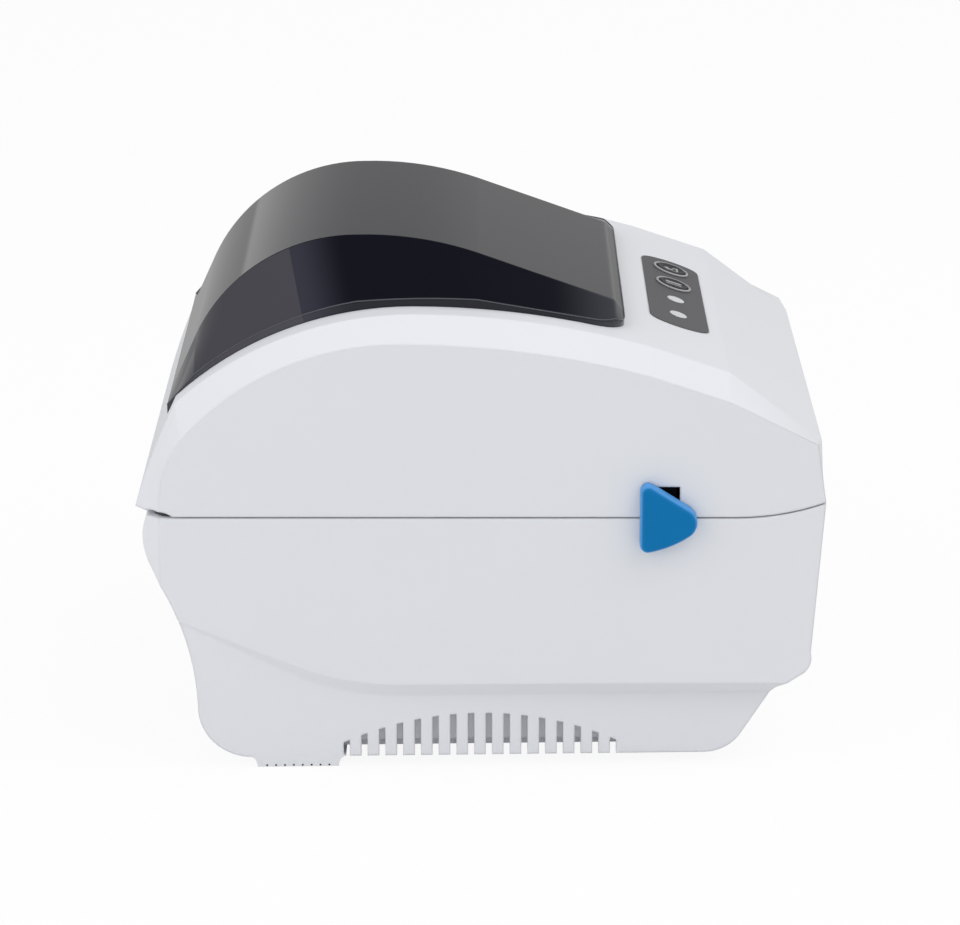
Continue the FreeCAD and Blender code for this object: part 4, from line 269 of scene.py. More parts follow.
# Faces of the power key look to the rear by more than this. Half the width of its bar and the inner radius of
# its ring are shares of half their height.
KEY_FACING = 0.9
BAR_WIDTH = 0.18
RING_INNER = 0.68
# The floor lies this far under the feet.
FLOOR_GAP = 0.0001


def colours():
    return bpy.context.scene.printer_colours


def sizes():
    return bpy.context.scene.printer_sizes


def studio():
    return bpy.context.scene.printer_studio


def add(tree, kind, **settings):
    """A node of a shader tree; in the editor the nodes stand in rows, in the order in which they come."""
    row, column = divmod(len(tree.nodes), NODE_ROW)
    made = tree.nodes.new("ShaderNode" + kind)
    made.location = (NODE_STEP * (column - NODE_ROW), -NODE_STEP * row)
    for word, value in settings.items():
        setattr(made, word, value)
    return made


def set_inputs(node, values):
    """Constants on a node's sockets."""
    for word, value in values.items():
        node.inputs[word].default_value = value


def math_node(tree, operation, first, second=None, third=None):
    """A Math node whose inputs are sockets or numbers."""
    made = add(tree, "Math", operation=operation)
    for socket, value in zip(made.inputs, (first, second, third)):
        if isinstance(value, bpy.types.NodeSocket):
            tree.links.new(value, socket)
        elif value is not None:
            socket.default_value = value
    return made.outputs[0]


def blend_colours(tree, factor, first, second):
    """A colour Mix node; its factor is a socket, and its two colours are sockets or colours."""
    made = add(tree, "Mix", data_type="RGBA")
    tree.links.new(factor, made.inputs[0])
    # Its first socket is the factor; sockets for numbers and vectors come before those for colours.
    for socket, value in zip(made.inputs[6:8], (first, second)):
        if isinstance(value, bpy.types.NodeSocket):
            tree.links.new(value, socket)
        else:
            socket.default_value = (*value, 1)
    return made.outputs[2]


def parted(tree, kind, output):
    """The three parts of a coordinate or a normal that a node of that kind gives."""
    given = add(tree, kind)
    parts = add(tree, "SeparateXYZ")
    tree.links.new(given.outputs[output], parts.inputs[0])
    return parts.outputs


def new_group(name, inputs, outputs):
    """An empty shader node group with named sockets."""
    tree = bpy.data.node_groups.new(name, "ShaderNodeTree")
    for word, value in inputs.items():
        socket = tree.interface.new_socket(word, in_out="INPUT", socket_type="NodeSocketFloat")
        socket.default_value = value
    for word, kind in outputs.items():
        tree.interface.new_socket(word, in_out="OUTPUT", socket_type=kind)
    given, out = tree.nodes.new("NodeGroupInput"), tree.nodes.new("NodeGroupOutput")
    given.location.x = -NODE_STEP * (NODE_ROW + 1)
    return tree, given, out


def scaled_place(tree, size, stretch=(1, 1, 1)):
    """Object coordinates divided by a size, so that a texture of scale one has details of that size."""
    where = add(tree, "TexCoord").outputs["Object"]
    inverse = math_node(tree, "DIVIDE", 1.0, size)
    shrunk = add(tree, "VectorMath", operation="SCALE")
    tree.links.new(where, shrunk.inputs[0])
    tree.links.new(inverse, shrunk.inputs["Scale"])
    if stretch == (1, 1, 1):
        return shrunk.outputs[0]
    drawn = add(tree, "VectorMath", operation="MULTIPLY")
    tree.links.new(shrunk.outputs[0], drawn.inputs[0])
    drawn.inputs[1].default_value = stretch
    return drawn.outputs[0]


def noise(tree, where, detail=2.0, rough=0.5):
    made = add(tree, "TexNoise")
    set_inputs(made, {"Scale": 1.0, "Detail": detail, "Roughness": rough})
    tree.links.new(where, made.inputs["Vector"])
    return made.outputs[0]


def moulded_grain():
    """Fine spark-eroded grain of a mould, and the slow drift of tone over a large face."""
    tree, given, out = new_group("Moulded grain", {"Grain Size": 0.0005, "Drift Size": 0.05},
                                 {"Height": "NodeSocketFloat", "Tone": "NodeSocketFloat"})
    grain = scaled_place(tree, given.outputs["Grain Size"])
    fine = noise(tree, grain, detail=3.0, rough=0.6)
    patch = scaled_place(tree, given.outputs["Drift Size"])
    slow = noise(tree, patch, detail=3.0, rough=0.55)
    tree.links.new(fine, out.inputs["Height"])
    tree.links.new(slow, out.inputs["Tone"])
    return tree


def soft_edges():
    """Normals that round an edge off, and a mask of where the edges are."""
    tree, given, out = new_group("Soft edges", {"Radius": 0.0005, "Spread": 6.0},
                                 {"Normal": "NodeSocketVector", "Edge": "NodeSocketFloat"})
    bevel = add(tree, "Bevel", samples=6)
    tree.links.new(given.outputs["Radius"], bevel.inputs["Radius"])
    surface = add(tree, "NewGeometry")
    together = add(tree, "VectorMath", operation="DOT_PRODUCT")
    tree.links.new(bevel.outputs[0], together.inputs[0])
    tree.links.new(surface.outputs["Normal"], together.inputs[1])
    apart = math_node(tree, "SUBTRACT", 1.0, together.outputs["Value"])
    edge = math_node(tree, "MULTIPLY", apart, given.outputs["Spread"])
    edge.node.use_clamp = True
    tree.links.new(bevel.outputs[0], out.inputs["Normal"])
    tree.links.new(edge, out.inputs["Edge"])
    return tree


def settled_dust():
    """Mask of thin dust on faces that look up, in soft patches."""
    tree, given, out = new_group("Settled dust", {"Patch Size": 0.02, "Amount": 0.2},
                                 {"Mask": "NodeSocketFloat"})
    spread = scaled_place(tree, given.outputs["Patch Size"])
    patch = noise(tree, spread, detail=5.0, rough=0.65)
    facing = parted(tree, "NewGeometry", "Normal")
    up = math_node(tree, "MAXIMUM", facing["Z"], 0.0)
    lying = math_node(tree, "MULTIPLY", patch, up)
    tree.links.new(math_node(tree, "MULTIPLY", lying, given.outputs["Amount"]), out.inputs["Mask"])
    return tree


def drawn_lines():
    """Fine parallel lines that drawing or rolling leaves on metal, along the printer's width."""
    tree, given, out = new_group("Drawn lines", {"Line Size": 0.0003},
                                 {"Height": "NodeSocketFloat", "Tone": "NodeSocketFloat"})
    size = given.outputs["Line Size"]
    lines = noise(tree, scaled_place(tree, size, stretch=(0.02, 1, 1)))
    broad = noise(tree, scaled_place(tree, size, stretch=(0.004, 0.1, 0.1)))
    tree.links.new(lines, out.inputs["Height"])
    tree.links.new(broad, out.inputs["Tone"])
    return tree


def effect(tree, maker, **values):
    """One of the shared effects in a material, built when it is first used."""
    title = maker.__name__.replace("_", " ").capitalize()
    shared = bpy.data.node_groups.get(title) or maker()
    made = add(tree, "Group", node_tree=shared)
    for word, value in values.items():
        made.inputs[word.replace("_", " ").title()].default_value = value
    return made


def start_material(name):
    """An empty material and its shader."""
    made = bpy.data.materials.new(name)
    made.use_nodes = True
    tree = made.node_tree
    return made, tree, tree.nodes["Principled BSDF"]


def scaled(colour, factor):
    return tuple(min(1.0, part * factor) for part in colour)


def drifting(tree, tone, colour, drift):
    """A colour that gets a little darker and lighter with a tone."""
    return blend_colours(tree, tone, scaled(colour, 1 - drift), scaled(colour, 1 + drift))


def ranged(tree, value, target, source=(0.0, 1.0), kind="LINEAR"):
    """A value of the source range spread over the target range."""
    made = add(tree, "MapRange", interpolation_type=kind)
    tree.links.new(value, made.inputs["Value"])
    set_inputs(made, dict(zip(("From Min", "From Max", "To Min", "To Max"), (*source, *target))))
    return made.outputs[0]


def stepped(tree, value, source, top=1.0):
    """A soft step of a value from nothing to top over the source range."""
    return ranged(tree, value, (0.0, top), source, "SMOOTHSTEP")


def bumped(tree, height, depth, normal=None):
    """Normals of a relief of that depth in metres."""
    made = add(tree, "Bump")
    set_inputs(made, {"Strength": BUMP_STRENGTH, "Distance": depth})
    tree.links.new(height, made.inputs["Height"])
    if normal is not None:
        tree.links.new(normal, made.inputs["Normal"])
    return made.outputs[0]


def dress(tree, shader, tone, rough, normal):
    """Link a material's colour, roughness and normals to its shader."""
    for word, source in (("Base Color", tone), ("Roughness", rough), ("Normal", normal)):
        tree.links.new(source, shader.inputs[word])


def plastic(name, shade, rough, depth, soft, drift=0.03, edge=None, dust=0.0, grain="grain", specular=0.5,
            lacquer=0.0):
    """Moulded plastic or rubber: grain, a drift of tone, soft edges with a painted highlight, and thin dust.

    The shade is the name of a colour, and soft and grain are names of sizes. The edge is the name of another
    colour for the edges, or how much lighter than the shade they are: a painted highlight.
    """
    made, tree, shader = start_material(name)
    colour = getattr(colours(), shade)
    texture = effect(tree, moulded_grain, grain_size=getattr(sizes(), grain), drift_size=0.045)
    edges = effect(tree, soft_edges, radius=getattr(sizes(), soft), spread=5.0)
    tone = drifting(tree, texture.outputs["Tone"], colour, drift)
    # Lighter edges: a painted highlight.
    if edge:
        painted_highlight = getattr(colours(), edge) if isinstance(edge, str) else scaled(colour, edge)
        tone = blend_colours(tree, edges.outputs["Edge"], tone, painted_highlight)
    if dust:
        settled = effect(tree, settled_dust, patch_size=0.018, amount=dust)
        tone = blend_colours(tree, settled.outputs["Mask"], tone, colours().dust)
    polish = (rough * (1 - PLASTIC_POLISH), rough * (1 + PLASTIC_POLISH))
    dress(tree, shader, tone, ranged(tree, texture.outputs["Tone"], polish),
          bumped(tree, texture.outputs["Height"], depth, edges.outputs["Normal"]))
    set_inputs(shader, {"Specular IOR Level": specular})
    if lacquer:
        set_inputs(shader, {"Coat Weight": lacquer, "Coat Roughness": LACQUER_ROUGH})
    return made


def metal(name, shade, rough, depth=0.000008, line=0.0003):
    """Drawn or rolled metal in one of the colours: fine lines, a changing polish and a painted highlight on
    its edges.
    """
    made, tree, shader = start_material(name)
    colour = getattr(colours(), shade)
    lines = effect(tree, drawn_lines, line_size=line)
    edges = effect(tree, soft_edges, radius=sizes().fine_edge, spread=3.0)
    dull, bright = (scaled(colour, factor) for factor in METAL_TONES)
    tone = blend_colours(tree, lines.outputs["Tone"], dull, bright)
    # Painted highlight on the edges.
    tone = blend_colours(tree, edges.outputs["Edge"], tone, scaled(colour, METAL_EDGE_HIGHLIGHT))
    polish = (rough * (1 - METAL_POLISH), rough * (1 + METAL_POLISH))
    dress(tree, shader, tone, ranged(tree, lines.outputs["Height"], polish),
          bumped(tree, lines.outputs["Height"], depth, edges.outputs["Normal"]))
    set_inputs(shader, {"Metallic": 1.0})
    return made


def smoked(name):
    """Smoked window: near black and polished, with a painted view of a lit inner wall at the rear of its
    sides and a painted reflection at its front corners.
    """
    made, tree, shader = start_material(name)
    texture = effect(tree, moulded_grain, grain_size=0.004, drift_size=0.03)
    edges = effect(tree, soft_edges, spread=2.0)
    place = parted(tree, "TexCoord", "Object")
    across = math_node(tree, "ABSOLUTE", place["X"])
    on_side = math_node(tree, "GREATER_THAN", across, WINDOW_TOP)
    leaning = math_node(tree, "MULTIPLY_ADD", place["Z"], WALL_LEAN, place["Y"])
    ahead = math_node(tree, "MULTIPLY", place["Y"], -1.0)
    tone = drifting(tree, texture.outputs["Tone"], colours().window, WINDOW_DRIFT)
    # Painted light on the sides: a glow and a view of the lit inner wall at the rear, and a painted
    # reflection at the front corners.
    layers = (
        (leaning, (0.0, WALL_LINE), colours().window_dusk),
        (leaning, WALL_EDGE, colours().window_rear),
        (ahead, CORNER_REFLECTION, colours().window_front),
    )
    for value, source, colour in layers:
        mask = stepped(tree, value, source)
        shown = math_node(tree, "MULTIPLY", mask, on_side)
        tone = blend_colours(tree, shown, tone, colour)
    softness = ranged(tree, ahead, target=CORNER_RADIUS, source=CORNER_SOFT)
    tree.links.new(softness, edges.inputs["Radius"])
    dress(tree, shader, tone, ranged(tree, texture.outputs["Tone"], WINDOW_ROUGH),
          bumped(tree, texture.outputs["Height"], depth=0.000002, normal=edges.outputs["Normal"]))
    set_inputs(shader, {"IOR": 1.49})
    return made


def lacquered_board(name):
    """Circuit board: green lacquer over a maze of copper lines, with soldered dots."""
    made, tree, shader = start_material(name)
    where = scaled_place(tree, MAZE)
    maze = add(tree, "TexBrick", offset=0.37, squash=0.6, squash_frequency=3)
    tree.links.new(where, maze.inputs["Vector"])
    set_inputs(maze, {"Scale": 1.0, "Mortar Size": 0.06})
    dots = add(tree, "TexVoronoi")
    tree.links.new(where, dots.inputs["Vector"])
    soldered = math_node(tree, "LESS_THAN", dots.outputs["Distance"], SOLDER_DOT)
    lines = maze.outputs["Fac"]
    tone = blend_colours(tree, lines, colours().board, colours().trace)
    tone = blend_colours(tree, soldered, tone, colours().solder)
    dress(tree, shader, tone, ranged(tree, lines, BOARD_ROUGH), bumped(tree, lines, depth=0.00003))
    return made


def coat(material, *names):
    """Give CAD nodes a finish."""
    for name in names:
        slots = nodes[name].data.materials
        slots.clear()
        slots.append(material)


def new_object(name, data):
    """An object in the scene."""
    made = bpy.data.objects.new(name, data)
    bpy.context.scene.collection.objects.link(made)
    return made


def piece(name, mesh, material, body, smooth=True):
    """A new piece on a body, with its finish; it takes its form from a filled bmesh."""
    data = bpy.data.meshes.new(name)
    bmesh.ops.recalc_face_normals(mesh, faces=mesh.faces)
    mesh.to_mesh(data)
    mesh.free()
    for face in data.polygons:
        face.use_smooth = smooth
    data.materials.append(material)
    made = new_object(name, data)
    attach(made, body)
    return made


def turned(mesh, profile, turns=64, place=Matrix(), closed=False):
    """Add a lathe form to a mesh and return its rings; profile is (radius, height) along the outline."""
    rings = []
    for radius, height in profile:
        if radius < MERGE:
            rings.append([mesh.verts.new(place @ Vector((0, 0, height)))])
            continue
        ring = []
        for step in range(turns):
            angle = 2 * math.pi * step / turns
            around = Vector((radius * math.cos(angle), radius * math.sin(angle), height))
            ring.append(mesh.verts.new(place @ around))
        rings.append(ring)
    for low, high in zip(rings, rings[1:] + rings[:1] if closed else rings[1:]):
        for step in range(turns):
            after = (step + 1) % turns
            if len(low) == 1:
                mesh.faces.new((low[0], high[step], high[after]))
            elif len(high) == 1:
                mesh.faces.new((low[step], low[after], high[0]))
            else:
                mesh.faces.new((low[step], low[after], high[after], high[step]))
    return rings


def plate(mesh, corners, drop):
    """Add a thin closed plate to a mesh; drop leads from its face to its underside."""
    top = [mesh.verts.new(spot) for spot in corners]
    low = [mesh.verts.new(spot + drop) for spot in corners]
    mesh.faces.new(top)
    mesh.faces.new(low[::-1])
    for step in range(len(top)):
        mesh.faces.new((top[step - 1], low[step - 1], low[step], top[step]))


def fill_between(mesh, loops):
    """Close a flat face of a mesh between an outer loop of points and the loops inside it."""
    edges = []
    for loop in loops:
        edges += [mesh.edges.get((one, other)) for one, other in zip(loop, loop[1:] + loop[:1])]
    bmesh.ops.triangle_fill(mesh, use_beauty=True, edges=edges)


def rounded(corners, radius, steps=6):
    """Corners of a profile with each inner one rounded off; corners are (radius, height)."""
    made = [corners[0]]
    for before, here, after in zip(corners, corners[1:], corners[2:]):
        a = Vector(before) - Vector(here)
        b = Vector(after) - Vector(here)
        # A rounding takes less than half of a side.
        cut = min(radius, a.length * 0.49, b.length * 0.49)
        start = Vector(here) + a.normalized() * cut
        end = Vector(here) + b.normalized() * cut
        for step in range(steps + 1):
            t = step / steps
            made.append(tuple(start * (1 - t) ** 2 + Vector(here) * 2 * t * (1 - t) + end * t ** 2))
    made.append(corners[-1])
    return made


def quarter(steps):
    """Sines and cosines along a quarter of a turn."""
    turns = [math.pi / 2 * step / steps for step in range(steps + 1)]
    return [(math.sin(turn), math.cos(turn)) for turn in turns]


def on_panel(across):
    """Place of a round piece on the control panel, standing square to it."""
    return SLOPE @ Matrix.Translation((across, PANEL_ROW, 0))


class PRINTER_OT_casing(bpy.types.Operator):
    """Give the casings their moulded finish"""
    bl_idname = "printer.casing"
    bl_label = "Casing"

    def execute(self, context):
        shell = plastic("Casing plastic", "casing", rough=0.46, depth=0.000012, soft="soft_edge",
                        drift=0.008, edge=1.06, specular=0.35)
        coat(shell, "base_shell", "lid_shell", "bottom_plate")
        return {"FINISHED"}


class PRINTER_OT_window(bpy.types.Operator):
    """Give the window its smoked finish and the bead along its rim, whose pale colour paints the rim's
    highlight
    """
    bl_idname = "printer.window"
    bl_label = "Window"

    def rim(self):
        """Edges between the window's upright rim and its slopes, each as its two ends."""
        mesh = bmesh.new()
        mesh.from_mesh(nodes["window"].data)
        bmesh.ops.remove_doubles(mesh, verts=mesh.verts, dist=MERGE)
        mesh.normal_update()
        found = []
        for edge in mesh.edges:
            if len(edge.link_faces) != 2:
                continue
            normals = (face.normal for face in edge.link_faces)
            upright, slope = sorted(normals, key=lambda normal: abs(normal.z))
            middle = (edge.verts[0].co + edge.verts[1].co) / 2
            outward = upright.x * middle.x - upright.y * RIM_FRONT > 0
            folded = abs(upright.z) < RIM_UPRIGHT and slope.z > RIM_SLOPE
            if folded and outward and middle.y < RIM_REAR:
                found.append([spot.co.copy() for spot in edge.verts])
        mesh.free()
        return found

    def chained(self, pairs):
        """The longest row of points through edges that meet end to end."""
        def key(spot):
            return tuple(round(part, 6) for part in spot)

        meets = {}
        for pair in pairs:
            for here, there in (pair, pair[::-1]):
                meets.setdefault(key(here), []).append(there)
        longest = []
        for end in sorted(spot for spot, others in meets.items() if len(others) == 1):
            row = [Vector(end)]
            seen = {end}
            nexts = meets[end]
            while nexts:
                row.append(nexts[0])
                seen.add(key(nexts[0]))
                nexts = [spot for spot in meets[key(nexts[0])] if key(spot) not in seen]
            if len(row) > len(longest):
                longest = row
        return longest

    def execute(self, context):
        coat(smoked("Smoked plastic"), "window")
        row = self.chained(self.rim())
        if not row:
            raise RuntimeError("the window has no rim for its bead")
        line = bpy.data.curves.new("window_bead", "CURVE")
        line.dimensions = "3D"
        line.bevel_depth = sizes().rim_bead
        line.bevel_resolution = 3
        line.use_fill_caps = True
        spline = line.splines.new("POLY")
        spline.points.add(len(row) - 1)
        for point, spot in zip(spline.points, row):
            point.co = (*spot, 1)
        # Pale bead colour: a painted highlight along the rim.
        polish = plastic("Bead polish", "bead", rough=0.18, depth=0.000002, soft="print_edge", drift=0.06)
        line.materials.append(polish)
        bead = new_object("window_bead", line)
        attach(bead, "lid")
        return {"FINISHED"}


class PRINTER_OT_panel(bpy.types.Operator):
    """Finish the control panel and make its keys, rings, signs and lights"""
    bl_idname = "printer.panel"
    bl_label = "Control panel"

    def key_cap(self, name, finish):
        mesh = bmesh.new()
        shares = [step / 8 for step in range(9)]
        crown = [(DISH_RADIUS * share, CAP_TOP - sizes().dish * (1 - share ** 2)) for share in shares]
        rim = rounded([crown[-1], (CAP_RADIUS, CAP_TOP), (CAP_RADIUS, CAP_LOW)], CAP_EDGE)
        foot = [(COLLAR_RADIUS, CAP_LOW), (COLLAR_RADIUS, CAP_LOW - COLLAR), (0.0, CAP_LOW - COLLAR)]
        turned(mesh, crown + rim[1:] + foot, place=on_panel(KEYS[name]))
        cap = piece(name + "_cap", mesh, finish, name)
        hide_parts(name)

    def sign(self, name, key, shapes, finish):
        """A printed sign on a key: each shape is a closed row of points, in the signs' units."""
        mesh = bmesh.new()
        place = on_panel(KEYS[key])
        drop = place.to_3x3() @ Vector((0, 0, -sizes().mark_depth))
        for shape in shapes:
            corners = []
            for across, up in shape:
                radius = math.hypot(across, up) * SIGN_UNIT
                hollow = sizes().dish * (1 - (radius / DISH_RADIUS) ** 2)
                height = CAP_TOP - hollow + sizes().mark_lift
                corners.append(place @ Vector((across * SIGN_UNIT, up * SIGN_UNIT, height)))
            plate(mesh, corners, drop)
        piece(name, mesh, finish, key, smooth=False)

    def execute(self, context):
        film = plastic("Panel film", "panel", rough=0.45, depth=0.000006, soft="fine_edge", drift=0.05,
                       edge=1.4, grain="smooth_grain", specular=0.25)
        cap = plastic("Key plastic", "key", rough=0.45, depth=0.000008, soft="small_edge", drift=0.05,
                      edge=1.6, grain="smooth_grain", specular=0.25)
        mark = plastic("Sign ink", "mark", rough=0.5, depth=0.000004, soft="print_edge", grain="print_grain")
        lens = plastic("Milky lens", "lens", rough=0.22, depth=0.000003, soft="small_edge", drift=0.02,
                       lacquer=0.3)
        coat(film, "control_panel")
        for name, across in KEYS.items():
            self.key_cap(name, cap)
            bead = bmesh.new()
            radius = sizes().ring_bead
            ring = []
            for step in range(-1, 10):
                turn = math.pi * step / 8
                height = RING_TOP + radius * (math.sin(turn) - RING_SINK)
                ring.append((RING_RADIUS + radius * math.cos(turn), height))
            turned(bead, ring, turns=72, place=on_panel(across), closed=True)
            piece(name + "_ring", bead, mark, "lid")
        bars = [[(x - 5, -28), (x + 5, -28), (x + 5, 28), (x - 5, 28)] for x in (-11, 11)]
        self.sign("pause_sign", "pause_button", bars, mark)
        arrow = [(0, 27), (-16, 9), (-6, 9), (-6, -8), (6, -8), (6, 9), (16, 9)]
        sheet = [(-20, -25), (20, -25), (20, -6), (14, -6), (14, -18), (-14, -18), (-14, -6), (-20, -6)]
        self.sign("feed_sign", "feed_button", [arrow, sheet], mark)
        lights = bmesh.new()
        for across in LIGHTS:
            dome = [(LIGHT_RADIUS * out, LIGHT_TOP - LIGHT_DOME * (1 - up)) for out, up in quarter(10)]
            stem = [(LIGHT_RADIUS, LIGHT_LOW), (0.0, LIGHT_LOW)]
            turned(lights, dome + stem, turns=48, place=on_panel(across))
        made = piece("status_lenses", lights, lens, "lid")
        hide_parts("status_lights")
        return {"FINISHED"}


class PRINTER_OT_latches(bpy.types.Operator):
    """Give the finger latches their finish, with a painted highlight on their edges and slants and painted
    shade on their stems
    """
    bl_idname = "printer.latches"
    bl_label = "Latches"

    def execute(self, context):
        blue = plastic("Latch plastic", "latch", rough=0.48, depth=0.000008, soft="latch_edge",
                       drift=0.05, edge="latch_edge", specular=0.12)
        tree = blue.node_tree
        skin = tree.nodes["Principled BSDF"].inputs["Base Color"]
        place = parted(tree, "TexCoord", "Object")
        outward = math_node(tree, "ABSOLUTE", place["X"])
        inside = math_node(tree, "LESS_THAN", outward, LATCH_ROOT)
        # Painted highlight: faces that turn from square to the side get paler.
        facing = parted(tree, "NewGeometry", "Normal")
        across = math_node(tree, "ABSOLUTE", facing["X"])
        painted_highlight = stepped(tree, across, LATCH_SLANT, LATCH_HIGHLIGHT)
        knob = blend_colours(tree, painted_highlight, skin.links[0].from_socket, colours().latch_edge)
        # Painted shade on the stem inside the lid.
        whole = blend_colours(tree, inside, knob, colours().latch_root)
        tree.links.new(whole, skin)
        coat(blue, "latch_left", "latch_right")
        return {"FINISHED"}


class PRINTER_OT_label_bay(bpy.types.Operator):
    """Finish the label tray, the roll holders and their hubs"""
    bl_idname = "printer.label_bay"
    bl_label = "Label bay"

    def execute(self, context):
        dark = plastic("Tray plastic", "tray", rough=0.55, depth=0.00002, soft="fine_edge", drift=0.12,
                       edge=1.8, dust=0.12)
        black = plastic("Black plastic", "black", rough=0.42, depth=0.00001, soft="fine_edge",
                        drift=0.15, edge=2.2)
        coat(dark, "media_tray", "rack_tray", "roll_holder_left", "roll_holder_right")
        coat(black, "roll_hub_left", "roll_hub_right", "label_sensor", "tear_bar", "power_jack",
             "rocker_frame", "power_rocker")
        return {"FINISHED"}


class PRINTER_OT_works(bpy.types.Operator):
    """Finish the print head, the platen, the gears and the motor"""
    bl_idname = "printer.works"
    bl_label = "Works"

    def springs(self, finish):
        """A copy of the head springs with the steel finish, in place of the CAD node."""
        data = nodes["head_springs"].data.copy()
        data.materials.clear()
        data.materials.append(finish)
        made = new_object("head_springs_live", data)
        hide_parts("head_springs")
        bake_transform(made)

    def execute(self, context):
        steel = metal("Drawn steel", "steel", rough=0.28)
        sheet = metal("Rolled sheet steel", "sheet", rough=0.36, depth=0.00001, line=0.0006)
        sink = metal("Extruded aluminium", "sink", rough=0.34, depth=0.000012, line=0.0004)
        gear = plastic("Gear nylon", "gear", rough=0.45, depth=0.00001, soft="small_edge", drift=0.05)
        bush = plastic("Bush plastic", "bush", rough=0.4, depth=0.00001, soft="small_edge", drift=0.1)
        rubber = plastic("Ground rubber", "rubber", rough=0.75, depth=0.00003, soft="fine_edge",
                         drift=0.2, edge=2.0, grain="smooth_grain")
        glaze = plastic("Glazed ceramic", "ceramic", rough=0.16, depth=0.000002, soft="small_edge",
                        drift=0.03, lacquer=0.5)
        coat(steel, "stepper_motor", "motor_shaft", "platen_shaft", "head_pin", "hinge_pins", "latch_pins",
             "latch_keepers", "usb_socket")
        self.springs(steel)
        coat(sheet, "mechanism_frame", "head_carrier")
        coat(sink, "heat_sink")
        coat(gear, "platen_gear", "idler_gear", "motor_pinion", "centring_pinion")
        coat(bush, "platen_bushes")
        coat(rubber, "platen_rubber")
        coat(glaze, "head_element")
        return {"FINISHED"}


class PRINTER_OT_electronics(bpy.types.Operator):
    """Finish the circuit boards and what sits on them"""
    bl_idname = "printer.electronics"
    bl_label = "Electronics"

    def execute(self, context):
        coat(lacquered_board("Board lacquer"), "main_board", "panel_board")
        chip = plastic("Chip resin", "chip", rough=0.6, depth=0.000012, soft="small_edge", drift=0.1,
                       grain="print_grain")
        coat(chip, "board_chips", "key_switches")
        return {"FINISHED"}


class PRINTER_OT_switch(bpy.types.Operator):
    """Print a bar and a ring on the two halves of the power key"""
    bl_idname = "printer.switch"
    bl_label = "Power key"

    def halves(self):
        """Place of each half of the key's outer face, the upper one first, standing square to it."""
        low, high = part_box("power_rocker")
        middle = (low + high) / 2
        upper, lower = [], []
        for face in nodes["power_rocker"].data.polygons:
            if face.normal.y > KEY_FACING and face.center.y > middle.y:
                (upper if face.center.z > middle.z else lower).append(face)
        places = []
        for faces in (upper, lower):
            area = sum(face.area for face in faces)
            centre = sum((face.center * face.area for face in faces), Vector()) / area
            square = sum((face.normal * face.area for face in faces), Vector()).normalized()
            turn = square.to_track_quat("Z", "Y").to_matrix().to_4x4()
            places.append(Matrix.Translation(centre + square * sizes().mark_lift) @ turn)
        return places

    def execute(self, context):
        upper, lower = self.halves()
        mesh = bmesh.new()
        tall, depth = sizes().switch_mark, sizes().mark_depth
        wide, inner = tall * BAR_WIDTH, tall * RING_INNER
        corners = ((-wide, -tall), (wide, -tall), (wide, tall), (-wide, tall))
        plate(mesh, [upper @ Vector((x, y, 0)) for x, y in corners], upper.to_3x3() @ Vector((0, 0, -depth)))
        ring = [(tall, 0.0), (inner, 0.0), (inner, -depth), (tall, -depth)]
        turned(mesh, ring, turns=40, place=lower, closed=True)
        ink = plastic("Switch ink", "switch_ink", rough=0.5, depth=0.000004, soft="print_edge",
                      grain="print_grain")
        piece("power_signs", mesh, ink, "rocker", smooth=False)
        return {"FINISHED"}


